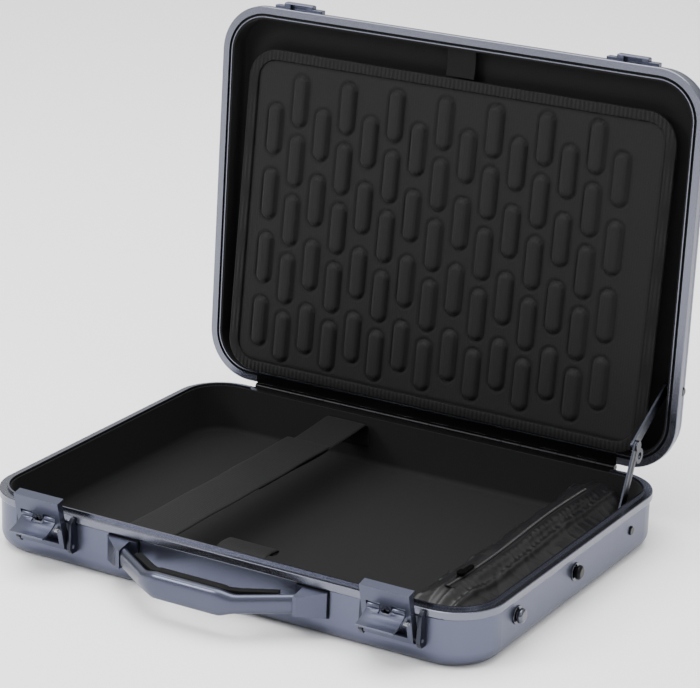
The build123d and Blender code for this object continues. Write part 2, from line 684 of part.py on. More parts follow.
def make_latch_small(x, side):
    """Flap pins and the lock cylinder of one latch."""
    plane = lever_plane(x)
    inner = LOCK_RADIUS + RUNNING + 0.3
    length = LEVER_WIDTH / 2 - inner - 0.1
    with BuildPart() as pins:
        rod(plane, inner, TUBE_HEIGHT, TUBE_OUT, length, FLAP_PIN_RADIUS)
        rod(plane, -inner - length, TUBE_HEIGHT, TUBE_OUT, length, FLAP_PIN_RADIUS)
    save(pins.part, f"flap_pins_{side}")
    with BuildPart() as lock:
        with BuildSketch(plane.offset(-1.0)) as barrel:
            with Locations((0, TUBE_HEIGHT)):
                Circle(LOCK_RADIUS)
        extrude(barrel.sketch, amount=LOCK_LENGTH)
        with BuildSketch(plane.offset(LOCK_LENGTH - 1.0 - 2.0)) as keyway:
            with Locations(Location((0, TUBE_HEIGHT), 45)):
                Rectangle(LOCK_KEYWAY, LOCK_KEYWAY)
        extrude(keyway.sketch, amount=2.0, mode=Mode.SUBTRACT)
    save(lock.part, f"lock_cylinder_{side}")


def make_keeper(x, side):
    """Stepped catch on the lid's front wall, with a pocket that opens towards the rim."""
    height = KEEPER_HIGH - KEEPER_LOW
    front = Plane(
        origin=LID.from_local_coords((x, SHELL_FRONT, 0)), x_dir=(1, 0, 0), z_dir=-LID_BACK
    )
    middle = (KEEPER_LOW + KEEPER_HIGH) / 2
    with BuildPart() as keeper:
        block(front, 0, middle, KEEPER_WIDTH, height, KEEPER_PLATE)
        block(front, 0, middle, KEEPER_BLOCK, height, KEEPER_HEIGHT)
        chamfer(keeper.faces().sort_by(Axis(front.origin, front.z_dir))[-1].edges(), length=0.8)
        block(
            front.offset(1.2), 0, KEEPER_LOW + 1.8, KEEPER_POCKET, 3.8, KEEPER_HEIGHT - 2.6,
            Mode.SUBTRACT,
        )
    save(keeper.part, f"latch_keeper_{side}")


# ---------------------------------------------------------------- handle


def handle_path(shift):
    """Corners of the handle's line in plan, moved outwards by shift."""
    run = HANDLE_RUN_OUT
    slope = (GRIP_OUT - HANDLE_AXIS_OUT) / (ARM_END - GRIP_HALF)
    turn = atan2(slope, 1)
    far = ARM_END + run
    far_y = SHELL_FRONT - HANDLE_AXIS_OUT + run * slope - shift / cos(turn)
    corner = GRIP_HALF + shift * tan(turn / 2)
    grip_y = SHELL_FRONT - GRIP_OUT - shift
    return [(-far, far_y), (-corner, grip_y), (corner, grip_y), (far, far_y)]


def handle_bar(shift, thick, height, arm_height, end, relief):
    """A bar along the handle's line, tallest at the grip, cut square at its two ends."""
    with BuildLine() as line:
        FilletPolyline(*handle_path(shift), radius=GRIP_BEND + shift)
    path = line.line.moved(Location((0, 0, HANDLE_Z)))
    start = Plane(origin=path @ 0, x_dir=(0, 0, 1), z_dir=path % 0)
    with BuildSketch(start) as section:
        Rectangle(height, thick)
        chamfer(section.vertices().group_by(Axis.Y)[-1], length=relief)
    sweep(section.sketch, path=path)
    face = Plane(origin=(0, SHELL_FRONT + 1, HANDLE_Z), x_dir=(1, 0, 0), z_dir=(0, -1, 0))
    with BuildSketch(face) as front:
        with BuildLine():
            Polyline(
                (-end, arm_height / 2),
                (-GRIP_HALF - ARM_SWELL, arm_height / 2 + 1),
                (-GRIP_HALF + ARM_SWELL, height / 2),
                (GRIP_HALF - ARM_SWELL, height / 2),
                (GRIP_HALF + ARM_SWELL, arm_height / 2 + 1),
                (end, arm_height / 2),
                (end, -arm_height / 2),
                (GRIP_HALF + ARM_SWELL, -arm_height / 2 - 1),
                (GRIP_HALF - ARM_SWELL, -height / 2),
                (-GRIP_HALF + ARM_SWELL, -height / 2),
                (-GRIP_HALF - ARM_SWELL, -arm_height / 2 - 1),
                (-end, -arm_height / 2),
                close=True,
            )
        make_face()
        fillet([v for v in front.vertices() if abs(v.X) < end - 1], radius=ARM_SWELL)
    extrude(front.sketch, amount=GRIP_OUT + 4 * GRIP_THICK, mode=Mode.INTERSECT)


def make_handle():
    axis_y = SHELL_FRONT - HANDLE_AXIS_OUT
    with BuildPart() as core:
        handle_bar(0, GRIP_THICK, GRIP_HEIGHT, ARM_HEIGHT, ARM_END, GRIP_CHAMFER)
        # rounded backs at the two ends, so that the arms turn in front of the shell
        for x in (-ARM_END - 1, ARM_END - ARM_EYE_LENGTH):
            with BuildSketch(side_plane(x)) as back:
                with Locations((axis_y + ARM_HEIGHT, HANDLE_Z)):
                    Rectangle(2 * ARM_HEIGHT, 2 * GRIP_HEIGHT)
                with Locations((axis_y, HANDLE_Z)):
                    Circle(ARM_HEIGHT / 2, mode=Mode.SUBTRACT)
            extrude(back.sketch, amount=ARM_EYE_LENGTH + 1, mode=Mode.SUBTRACT)
        for x in (-ARM_END - 1, ARM_END - HANDLE_PIN_INSET):
            rod(
                Plane.XY, x, axis_y, HANDLE_Z, HANDLE_PIN_INSET + 1, HANDLE_PIN_RADIUS + RUNNING,
                Mode.SUBTRACT,
            )
    save(core.part, "handle_core")
    with BuildPart() as pad:
        handle_bar(
            -(GRIP_THICK + PAD_THICK) / 2, PAD_THICK, PAD_HEIGHT, PAD_ARM_HEIGHT, PAD_END,
            PAD_THICK / 4,
        )
    save(pad.part, "handle_pad")


def make_handle_mount(side, name):
    """Wedge-shaped mount, its gasket and the pin that enters the handle's arm."""
    axis_y = SHELL_FRONT - HANDLE_AXIS_OUT
    inner = ARM_END + ARM_GAP
    wedge = [
        (MOUNT_NEAR, 0),
        (MOUNT_NEAR, -MOUNT_FOOT),
        (inner, -MOUNT_FOOT - 0.6),
        (inner, -MOUNT_REACH),
        (inner + MOUNT_NOSE, -MOUNT_REACH),
        (MOUNT_FAR, -MOUNT_FOOT),
        (MOUNT_FAR, 0),
    ]
    with BuildPart() as mount:
        with BuildSketch(Plane.XY.offset(HANDLE_Z - MOUNT_HEIGHT / 2)) as plan:
            with BuildLine():
                Polyline(
                    *[(side * x, SHELL_FRONT - GASKET + y) for x, y in wedge], close=True
                )
            make_face()
        extrude(plan.sketch, amount=MOUNT_HEIGHT)
        with BuildSketch(side_plane(-CASE_WIDTH / 2)) as profile:
            with BuildLine():
                back = SHELL_FRONT - GASKET
                Polyline(
                    (back, HANDLE_Z - MOUNT_HEIGHT / 2),
                    (back - MOUNT_FOOT, HANDLE_Z - MOUNT_HEIGHT / 2),
                    (back - MOUNT_REACH, HANDLE_Z - ARM_HEIGHT / 2),
                    (back - MOUNT_REACH, HANDLE_Z + ARM_HEIGHT / 2),
                    (back - MOUNT_FOOT, HANDLE_Z + MOUNT_HEIGHT / 2),
                    (back, HANDLE_Z + MOUNT_HEIGHT / 2),
                    close=True,
                )
            make_face()
        extrude(profile.sketch, amount=CASE_WIDTH, mode=Mode.INTERSECT)
        low_x = min(side * inner, side * (inner + HANDLE_PIN_INSET)) - (1 if side > 0 else 0)
        rod(
            Plane.XY, low_x, axis_y, HANDLE_Z, HANDLE_PIN_INSET + 1, HANDLE_PIN_RADIUS + FIT,
            Mode.SUBTRACT,
        )
    save(mount.part, f"handle_mount_{name}")
    with BuildPart() as gasket:
        face = Plane(origin=(0, SHELL_FRONT, 0), x_dir=(1, 0, 0), z_dir=(0, -1, 0))
        with BuildSketch(face) as shape:
            with Locations((side * (MOUNT_NEAR + MOUNT_FAR) / 2, HANDLE_Z)):
                Rectangle(
                    MOUNT_FAR - MOUNT_NEAR + 2 * GASKET_LIP, MOUNT_HEIGHT + 2 * GASKET_LIP
                )
        extrude(shape.sketch, amount=GASKET)
    save(gasket.part, f"handle_gasket_{name}")
    with BuildPart() as pin:
        length = 2 * HANDLE_PIN_INSET + ARM_GAP - 2 * FIT
        middle = side * (ARM_END + ARM_GAP / 2)
        rod(Plane.XY, middle - length / 2, axis_y, HANDLE_Z, length, HANDLE_PIN_RADIUS)
    save(pin.part, f"handle_pin_{name}")


# ---------------------------------------------------------------- studs on the right side


def make_studs():
    shell_x = CASE_WIDTH / 2 - SHELL_INSET
    with BuildPart() as washers:
        with BuildSketch(side_plane(shell_x)):
            with Locations((STUD_FRONT_Y, STUD_Z), (STUD_MIDDLE_Y, STUD_Z)):
                Circle(STUD_WASHER_RADIUS)
                Circle(STUD_POST_RADIUS + FIT, mode=Mode.SUBTRACT)
        extrude(amount=STUD_WASHER)
    save(washers.part, "stud_washers")
    for y, name in ((STUD_FRONT_Y, "front"), (STUD_MIDDLE_Y, "middle")):
        inner = shell_x - SHELL_WALL
        neck = shell_x + STUD_WASHER
        head = neck + STUD_NECK
        with BuildPart() as stud:
            rod(Plane.XY, inner, y, STUD_Z, neck - inner, STUD_POST_RADIUS)
            rod(Plane.XY, neck, y, STUD_Z, STUD_NECK, STUD_NECK_RADIUS)
            rod(Plane.XY, head, y, STUD_Z, STUD_HEAD, STUD_HEAD_RADIUS)
            fillet(stud.faces().sort_by(Axis.X)[-1].edges(), radius=STUD_HEAD * STUD_CROWN)
        save(stud.part, f"strap_stud_{name}")


# ---------------------------------------------------------------- folding lid stay


def stay_base():
    """Stay pivot on the base, in the side view."""
    return Vector(0, STAY_BASE_Y, STAY_BASE_Z)


def stay_lid():
    """Stay pivot on the open lid, in the side view."""
    return LID.from_local_coords((0, HINGE_Y - STAY_LID_FROM_HINGE, STAY_LID_HEIGHT))


def stay_elbow():
    """Where the two links meet with the lid open: the point in front of both pivots."""
    low = stay_base()
    high = stay_lid()
    span = (high - low).length
    along = (STAY_LOWER_LENGTH**2 - STAY_UPPER_LENGTH**2 + span**2) / (2 * span)
    rise = (STAY_LOWER_LENGTH**2 - along**2) ** 0.5
    direction = (high - low).normalized()
    side = Vector(0, -direction.Z, direction.Y)
    return low + direction * along + side * rise


def stay_link(x, start, end, tail=None):
    """A flat link with round ends between two points of the side view."""
    run = end - start
    angle = degrees(atan2(run.Z, run.Y))
    middle = (start + end) * 0.5
    with BuildSketch(side_plane(x)) as shape:
        with Locations(Location((middle.Y, middle.Z), angle)):
            SlotCenterToCenter(run.length, STAY_WIDTH)
        if tail:
            reach = tail - end
            joint = (tail + end) * 0.5
            with Locations(Location((joint.Y, joint.Z), degrees(atan2(reach.Z, reach.Y)))):
                Rectangle(reach.length, STAY_TAIL_RADIUS)
            with Locations((tail.Y, tail.Z)):
                Circle(STAY_TAIL_RADIUS)
                Circle(STAY_TAIL_HOLE, mode=Mode.SUBTRACT)
    extrude(shape.sketch, amount=STAY_PLATE)


def stay_tail():
    """Centre of the finger ring beyond the elbow."""
    elbow = stay_elbow()
    turn = radians(STAY_TAIL_ANGLE)
    return elbow + Vector(0, cos(turn), sin(turn)) * STAY_TAIL_LENGTH


def stay_round(x, point, length, radius, mode=Mode.ADD):
    """Add or cut a round along X at a point of the side view."""
    rod(Plane.XY, x, point.Y, point.Z, length, radius, mode)


def make_stay():
    low = stay_base()
    high = stay_lid()
    elbow = stay_elbow()
    shell_x = CASE_WIDTH / 2 - SHELL_INSET
    with BuildPart() as lower:
        stay_link(STAY_LOWER_X, low, elbow)
        stay_round(STAY_LOWER_X, low, STAY_PLATE, STAY_RIVET_RADIUS + RUNNING, Mode.SUBTRACT)
        stay_round(STAY_LOWER_X, elbow, STAY_PLATE, STAY_RIVET_RADIUS + FIT, Mode.SUBTRACT)
    save(lower.part, "stay_lower")
    with BuildPart() as upper:
        stay_link(STAY_UPPER_X, high, elbow, stay_tail())
        stay_round(STAY_UPPER_X, high, STAY_PLATE, STAY_RIVET_RADIUS + RUNNING, Mode.SUBTRACT)
        stay_round(STAY_UPPER_X - STAY_HEAD, elbow, STAY_HEAD, STAY_HEAD_RADIUS)
        chamfer(upper.faces().sort_by(Axis.X)[0].edges(), length=STAY_HEAD / 2)
    save(upper.part, "stay_upper")
    with BuildPart() as elbow_rivet:
        outer = STAY_LOWER_X + STAY_PLATE + FIT
        stay_round(STAY_LOWER_X, elbow, outer - STAY_LOWER_X, STAY_RIVET_RADIUS)
        stay_round(outer, elbow, STAY_HEAD - CLEAR, STAY_HEAD_RADIUS)
    save(elbow_rivet.part, "stay_rivet_elbow")
    with BuildPart() as base_rivet:
        inner = STAY_LOWER_X - FIT
        outer = STAY_LOWER_X + STAY_PLATE + FIT
        stay_round(inner, low, shell_x - inner, STAY_RIVET_RADIUS)
        stay_round(inner - STAY_HEAD, low, STAY_HEAD, STAY_HEAD_RADIUS)
        stay_round(outer, low, CASE_WIDTH / 2 - BASE_CAVITY - CLEAR - outer, STAY_SPACER_RADIUS)
        stay_round(shell_x, low, STAY_HEAD, STAY_SHELL_HEAD_RADIUS)
        chamfer(base_rivet.faces().sort_by(Axis.X)[-1].edges(), length=STAY_HEAD / 2)
    save(base_rivet.part, "stay_rivet_base")
    with BuildPart() as lid_rivet:
        inner = STAY_UPPER_X - FIT
        outer = STAY_UPPER_X + STAY_PLATE + FIT
        stay_round(inner, high, shell_x - inner, STAY_RIVET_RADIUS)
        stay_round(inner - STAY_HEAD, high, STAY_HEAD, STAY_HEAD_RADIUS)
        stay_round(outer, high, CASE_WIDTH / 2 - LID_CAVITY - CLEAR - outer, STAY_SPACER_RADIUS)
        stay_round(shell_x, high, STAY_HEAD, STAY_SHELL_HEAD_RADIUS)
        chamfer(lid_rivet.faces().sort_by(Axis.X)[-1].edges(), length=STAY_HEAD / 2)
    save(lid_rivet.part, "stay_rivet_lid")


# ---------------------------------------------------------------- straps and pouch


def ribbon(x, width, thick, points, radius):
    """A webbing strap along a line of the side view, with rounded turns."""
    with BuildSketch(side_plane(x - width / 2)) as shape:
        with BuildLine() as line:
            FilletPolyline(*points, radius=radius)
        trace(line.line, line_width=thick)
    extrude(shape.sketch, amount=width)


def make_straps():
    wall = CASE_DEPTH / 2 - BASE_CAVITY
    half = STRAP_THICK / 2
    near = wall - CLEAR - half
    with BuildPart() as rear:
        level = STRAP_LEVEL + half
        ribbon(
            STRAP_X,
            STRAP_REAR_WIDTH,
            STRAP_THICK,
            [
                (near, STRAP_FOOT_Z),
                (near, level + STRAP_LIFT),
                (near - STRAP_SHOULDER, level + 1.6 * STRAP_LIFT),
                (near - STRAP_DIP, level - STRAP_SAG),
                (STRAP_REAR_END, level),
            ],
            STRAP_ROUND,
        )
    save(rear.part, "strap_rear")
    with BuildPart() as front:
        level = STRAP_LEVEL + STRAP_THICK + CLEAR + half
        ribbon(
            STRAP_X,
            STRAP_WIDTH,
            STRAP_THICK,
            [
                (-near, STRAP_FOOT_Z),
                (-near, level + STRAP_LIFT / 2),
                (-near + STRAP_SHOULDER, level + STRAP_LIFT),
                (STRAP_REAR_END, level),
                (STRAP_FREE_END, level + STRAP_LIFT / 4),
            ],
            STRAP_ROUND,
        )
    save(front.part, "strap_front")
    with BuildPart() as tab:
        ribbon(
            TAB_X,
            TAB_WIDTH,
            STRAP_THICK,
            [
                (-near, STRAP_FOOT_Z),
                (-near, TAB_LEVEL),
                (-near + TAB_REACH / 3, TAB_LEVEL + TAB_RISE),
                (-near + TAB_REACH, TAB_LEVEL + 0.6 * TAB_RISE),
            ],
            STRAP_ROUND,
        )
        with BuildSketch(side_plane(TAB_X - TAB_WIDTH / 2)) as hem:
            slope = degrees(atan2(-0.4 * TAB_RISE, TAB_REACH * 2 / 3))
            centre = (-near + TAB_REACH - TAB_HEM / 2, TAB_LEVEL + 0.7 * TAB_RISE)
            with Locations(Location(centre, slope)):
                SlotOverall(TAB_HEM, TAB_THICK)
        extrude(hem.sketch, amount=TAB_WIDTH)
    save(tab.part, "pull_tab")


def make_pouch():
    width = POUCH_RIGHT - POUCH_LEFT
    depth = POUCH_REAR - POUCH_FRONT
    centre = ((POUCH_LEFT + POUCH_RIGHT) / 2, (POUCH_FRONT + POUCH_REAR) / 2)
    bottom = FLOOR_TOP + CLEAR
    with BuildPart() as pouch:
        with BuildSketch(Plane.XY.offset(bottom)) as plan:
            with Locations(centre):
                RectangleRounded(width, depth, POUCH_ROUND)
        extrude(plan.sketch, amount=POUCH_TOP - bottom)
        fillet(pouch.faces().sort_by(Axis.Z)[-1].edges(), radius=POUCH_ROUND - 1)
        fillet(pouch.faces().sort_by(Axis.Z)[0].edges(), radius=POUCH_ROUND / 2)
        with BuildSketch(Plane.XY.offset(POUCH_TOP - ZIP_TAPE)) as seat:
            with Locations((ZIP_X, (ZIP_FRONT + ZIP_REAR) / 2)):
                Rectangle(ZIP_WIDTH + 2 * FIT, ZIP_REAR - ZIP_FRONT + 2 * FIT)
        extrude(seat.sketch, amount=ZIP_TAPE, mode=Mode.SUBTRACT)
    save(pouch.part, "accessory_pouch")
    with BuildPart() as zip_tape:
        with BuildSketch(Plane.XY.offset(POUCH_TOP - ZIP_TAPE)) as tape:
            with Locations((ZIP_X, (ZIP_FRONT + ZIP_REAR) / 2)):
                Rectangle(ZIP_WIDTH, ZIP_REAR - ZIP_FRONT)
        extrude(tape.sketch, amount=ZIP_TAPE - FIT)
        with BuildSketch(Plane.XY.offset(POUCH_TOP - FIT)) as teeth:
            with Locations((ZIP_X, (ZIP_FRONT + ZIP_REAR) / 2)):
                Rectangle(ZIP_TEETH, ZIP_REAR - ZIP_FRONT)
        extrude(teeth.sketch, amount=ZIP_TEETH_HEIGHT)
    save(zip_tape.part, "pouch_zip")
    with BuildPart() as slider:
        top = POUCH_TOP - FIT + ZIP_TEETH_HEIGHT + CLEAR
        with BuildSketch(Plane.XY.offset(top)) as body:
            with Locations((ZIP_X, SLIDER_Y)):
                SlotOverall(SLIDER_LENGTH, SLIDER_WIDTH, rotation=90)
        extrude(body.sketch, amount=SLIDER_HEIGHT)
        with BuildSketch(Plane.XY.offset(top)) as pull:
            with Locations((ZIP_X, SLIDER_Y + SLIDER_LENGTH)):
                SlotOverall(SLIDER_PULL, SLIDER_WIDTH * 0.7, rotation=90)
        extrude(pull.sketch, amount=SLIDER_HEIGHT / 2)
    save(slider.part, "zip_slider")


# ---------------------------------------------------------------- padded sleeve in the lid


def sleeve_plane():
    """The sleeve's front face; its local y runs down the open lid and z points out of it."""
    top = Vector(0, SLEEVE_TOP_Y, SLEEVE_TOP_DEPTH)
    bottom = Vector(0, SLEEVE_BOTTOM_Y, SLEEVE_BOTTOM_DEPTH)
    down = LID.from_local_coords(bottom) - LID.from_local_coords(top)
    middle = (LID.from_local_coords(bottom) + LID.from_local_coords(top)) * 0.5
    return Plane(origin=middle, x_dir=(-1, 0, 0), z_dir=Vector(-1, 0, 0).cross(down))


def sleeve_length():
    """Length of the sleeve from its top edge to its bottom edge."""
    return hypot(SLEEVE_BOTTOM_Y - SLEEVE_TOP_Y, SLEEVE_BOTTOM_DEPTH - SLEEVE_TOP_DEPTH)


def pill_length():
    """Length of a raised pad, from the rows and gaps that fill the sleeve inside its binding."""
    inside = sleeve_length() - 2 * BINDING_WIDTH - PILL_FROM_TOP - PILL_FROM_BOTTOM
    return (inside - (INNER_ROWS - 1) * PILL_END_GAP) / INNER_ROWS


def pill_places():
    """Centres of the raised pads on the sleeve: offset columns of four and of five."""
    half = PILL_WIDTH / 2
    left = -SLEEVE_WIDTH / 2 + BINDING_WIDTH + PILL_FROM_LEFT + half
    right = SLEEVE_WIDTH / 2 - BINDING_WIDTH - PILL_FROM_RIGHT - half
    top = -sleeve_length() / 2 + BINDING_WIDTH + PILL_FROM_TOP + pill_length() / 2
    bottom = sleeve_length() / 2 - BINDING_WIDTH - PILL_FROM_BOTTOM - pill_length() / 2
    step = (right - left) / (OUTER_COLUMNS + INNER_COLUMNS - 1)
    places = []
    for column in range(OUTER_COLUMNS + INNER_COLUMNS):
        rows = INNER_ROWS if column % 2 else OUTER_ROWS
        inset = 0 if column % 2 else OUTER_INSET
        pitch = (bottom - top - 2 * inset) / (rows - 1)
        places += [(left + column * step, top + inset + row * pitch) for row in range(rows)]
    return places


def pill_outline():
    """A long pad's plan with many-sided ends."""
    radius = PILL_WIDTH / 2
    reach = (pill_length() - PILL_WIDTH) / 2
    corners = []
    for i in range(PILL_SIDES + 1):
        turn = radians(180 * i / PILL_SIDES)
        corners.append((radius * cos(turn), reach + radius * sin(turn)))
    Polygon(*corners, *[(-x, -y) for x, y in corners], align=None)


def make_sleeve():
    plane = sleeve_plane()
    length = sleeve_length()
    inside = BINDING_WIDTH
    with BuildPart() as panel:
        with BuildSketch(plane.offset(-SLEEVE_THICK)) as plan:
            RectangleRounded(SLEEVE_WIDTH, length, SLEEVE_RADIUS)
        extrude(plan.sketch, amount=SLEEVE_THICK)
        with BuildSketch(plane.offset(-BINDING_PROUD)) as edge:
            RectangleRounded(SLEEVE_WIDTH, length, SLEEVE_RADIUS)
            RectangleRounded(
                SLEEVE_WIDTH - 2 * inside, length - 2 * inside, SLEEVE_RADIUS - inside,
                mode=Mode.SUBTRACT,
            )
        extrude(edge.sketch, amount=BINDING_PROUD, mode=Mode.SUBTRACT)
        with BuildSketch(plane) as pills:
            with Locations(*[(-x, y) for x, y in pill_places()]):
                pill_outline()
        extrude(pills.sketch, amount=PILL_PROUD, taper=degrees(atan2(PILL_SLOPE, PILL_PROUD)))
    save(panel.part, "sleeve_panel")
    with BuildPart() as binding:
        with BuildSketch(plane.offset(FIT - BINDING_PROUD)) as ring:
            RectangleRounded(SLEEVE_WIDTH, length, SLEEVE_RADIUS)
            RectangleRounded(
                SLEEVE_WIDTH - 2 * inside + 2 * FIT, length - 2 * inside + 2 * FIT,
                SLEEVE_RADIUS - inside + FIT, mode=Mode.SUBTRACT,
            )
        extrude(ring.sketch, amount=2 * BINDING_PROUD)
    save(binding.part, "sleeve_binding")
    with BuildPart() as loop:
        wall = -CASE_DEPTH / 2 + LID_CAVITY + CLEAR
        end = SLEEVE_TOP_Y - 2 * CLEAR
        block(
            LID.offset(SLEEVE_TOP_DEPTH + 1.2), LOOP_X, (wall + end) / 2, LOOP_WIDTH, end - wall,
            LOOP_THICK,
        )
    save(loop.part, "sleeve_loop")


def main():
    os.makedirs("parts", exist_ok=True)
    make_base_shell()
    make_lid_shell()
    make_base_frame()
    make_lid_frame()
    make_base_lining()
    make_lid_lining()
    make_hinge()
    for x, side in ((-LATCH_X, "left"), (LATCH_X, "right")):
        make_latch_base(x, side)
        make_lever(x, side)
        make_flap(x, side)
        make_latch_small(x, side)
        make_keeper(x, side)
    make_handle()
    make_handle_mount(-1, "left")
    make_handle_mount(1, "right")
    make_studs()
    make_stay()
    make_straps()
    make_pouch()
    make_sleeve()


main()
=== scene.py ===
"""Looks of the laptop hard case: metal finishes, linings, padded sleeve, straps and pouch."""

import logging
import math
from contextlib import contextmanager
from dataclasses import dataclass
from enum import Enum
from typing import Callable, Iterator, Optional, Sequence

import bmesh
import bpy
from mathutils import Matrix, Vector, noise


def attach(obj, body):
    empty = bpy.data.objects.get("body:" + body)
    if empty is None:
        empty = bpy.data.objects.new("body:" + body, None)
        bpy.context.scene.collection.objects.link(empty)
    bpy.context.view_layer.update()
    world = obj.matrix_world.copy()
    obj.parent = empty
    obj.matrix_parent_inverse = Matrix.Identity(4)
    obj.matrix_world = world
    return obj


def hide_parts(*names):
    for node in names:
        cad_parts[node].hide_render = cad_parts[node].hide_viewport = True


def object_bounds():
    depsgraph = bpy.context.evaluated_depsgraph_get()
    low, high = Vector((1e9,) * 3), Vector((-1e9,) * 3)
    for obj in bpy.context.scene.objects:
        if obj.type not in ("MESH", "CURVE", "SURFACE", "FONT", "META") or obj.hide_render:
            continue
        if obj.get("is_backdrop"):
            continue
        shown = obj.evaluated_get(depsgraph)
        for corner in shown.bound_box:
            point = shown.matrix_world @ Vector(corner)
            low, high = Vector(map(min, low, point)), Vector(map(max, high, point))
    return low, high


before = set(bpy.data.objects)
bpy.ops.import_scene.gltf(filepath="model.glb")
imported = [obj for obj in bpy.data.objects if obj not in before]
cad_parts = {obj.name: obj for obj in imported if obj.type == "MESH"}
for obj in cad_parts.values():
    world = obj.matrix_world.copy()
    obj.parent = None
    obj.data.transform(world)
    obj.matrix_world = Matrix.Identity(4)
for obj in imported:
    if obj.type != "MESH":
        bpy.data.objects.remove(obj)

Piece = bpy.types.Object
Material = bpy.types.Material
Tree = bpy.types.NodeTree
Node = bpy.types.Node
Socket = bpy.types.NodeSocket

LOG = logging.getLogger("laptop_case")
MM = 0.001
WAVE_PERIOD = 0.314159  # length of one band of a wave texture at scale 1
WELD = 0.01 * MM  # points closer than this are one point
CAD_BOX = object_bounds()



# ---- the case's own sizes


@dataclass(frozen=True)
class CaseFrame:
    """Sizes of the case that every sub-assembly shares, in millimetres, lying flat."""

    width: float = 430.0
    depth: float = 318.0
    corner: float = 40.0
    base_height: float = 45.0
    hinge_y: float = 161.9
    hinge_z: float = 45.15
    lid_open: float = 93.0

    def open_lid(self) -> Matrix:
        """Turn the closed lid to the open lid.

        Returns:
            The turn, in metres.
        """
        hinge = Vector((0, self.hinge_y, self.hinge_z)) * MM
        turn = Matrix.Rotation(-math.radians(self.lid_open), 4, "X")
        return Matrix.Translation(hinge) @ turn @ Matrix.Translation(-hinge)


CASE = CaseFrame()


# ---- materials


def linear(sheet_hex: str) -> tuple[float, float, float, float]:
    """Turn an sRGB hex colour into linear light.

    Args:
        sheet_hex: Colour such as "8A8C9E".

    Returns:
        Red, green, blue and alpha in linear light.
    """
    parts = [int(sheet_hex[i : i + 2], 16) / 255 for i in (0, 2, 4)]
    levels = [c / 12.92 if c <= 0.04045 else ((c + 0.055) / 1.055) ** 2.4 for c in parts]
    return (levels[0], levels[1], levels[2], 1.0)


def add_node(
    tree: Tree,
    kind: str,
    settings: Optional[dict] = None,
    links: Optional[dict] = None,
) -> Node:
    """Add one shader node with its settings and links.

    Args:
        tree: The node tree it joins.
        kind: Blender's type name of the node.
        settings: Attribute or socket values; a socket is given by its name or number.
        links: Socket name or number to the output socket that feeds it.

    Returns:
        The new node.
    """
    made = tree.nodes.new(kind)
    for key, value in (settings or {}).items():
        if isinstance(key, str) and hasattr(made, key):
            setattr(made, key, value)
        else:
            made.inputs[key].default_value = value
    for key, source in (links or {}).items():
        tree.links.new(source, made.inputs[key])
    return made


def join_colour(
    tree: Tree, factor: Socket, low: str, high: str
) -> Socket:
    """Mix two hex colours by a factor.

    Args:
        tree: The node tree.
        factor: Output that chooses between them.
        low: Colour at 0.
        high: Colour at 1.

    Returns:
        The mixed colour.
    """
    mix = add_node(tree, "ShaderNodeMix", {"data_type": "RGBA"})
    mix.inputs[6].default_value = linear(low)
    mix.inputs[7].default_value = linear(high)
    tree.links.new(factor, mix.inputs[0])
    return mix.outputs[2]


def cloud(
    tree: Tree, place: Socket, scale: float, detail: float,
    roughness: float = 0.5, distortion: float = 0.0,
) -> Socket:
    """Add cloudy noise.

    Args:
        tree: The node tree.
        place: Coordinates of the noise.
        scale: Clouds in one metre.
        detail: Layers of finer clouds.
        roughness: Share of the finer clouds.
        distortion: How far the clouds are stirred.

    Returns:
        The noise, from 0 to 1.
    """
    settings = {
        "Scale": scale, "Detail": detail, "Roughness": roughness, "Distortion": distortion
    }
    return add_node(tree, "ShaderNodeTexNoise", settings, {"Vector": place}).outputs["Fac"]


def bumps(
    tree: Tree, height: Socket, strength: float, depth_mm: float,
    under: Optional[Socket] = None,
) -> Socket:
    """Turn a height into bumps.

    Args:
        tree: The node tree.
        height: The height, from 0 to 1.
        strength: Share of the bumps that is seen.
        depth_mm: Depth in millimetres.
        under: Bumps that these lie on.

    Returns:
        The bumped normal.
    """
    links = {"Height": height, "Normal": under} if under else {"Height": height}
    settings = {"Strength": strength, "Distance": depth_mm * MM}
    return add_node(tree, "ShaderNodeBump", settings, links).outputs["Normal"]


@dataclass(frozen=True)
class SurfaceFinish:
    """A finish in two close tones, made into a material once and then shared."""

    name: str
    colour: str
    shade: str

    def __call__(self) -> Material:
        """Return the material.

        Returns:
            The material, made at the first call.
        """
        if self.name in bpy.data.materials:
            return bpy.data.materials[self.name]
        material = bpy.data.materials.new(self.name)
        material.use_nodes = True
        tree = material.node_tree
        self.lay(tree, tree.nodes["Principled BSDF"])
        return material

    def lay(self, tree: Tree, shader: Node) -> None:
        """Wire the tones, bumps and gloss.

        Args:
            tree: The material's node tree.
            shader: Its surface shader.
        """
        raise NotImplementedError


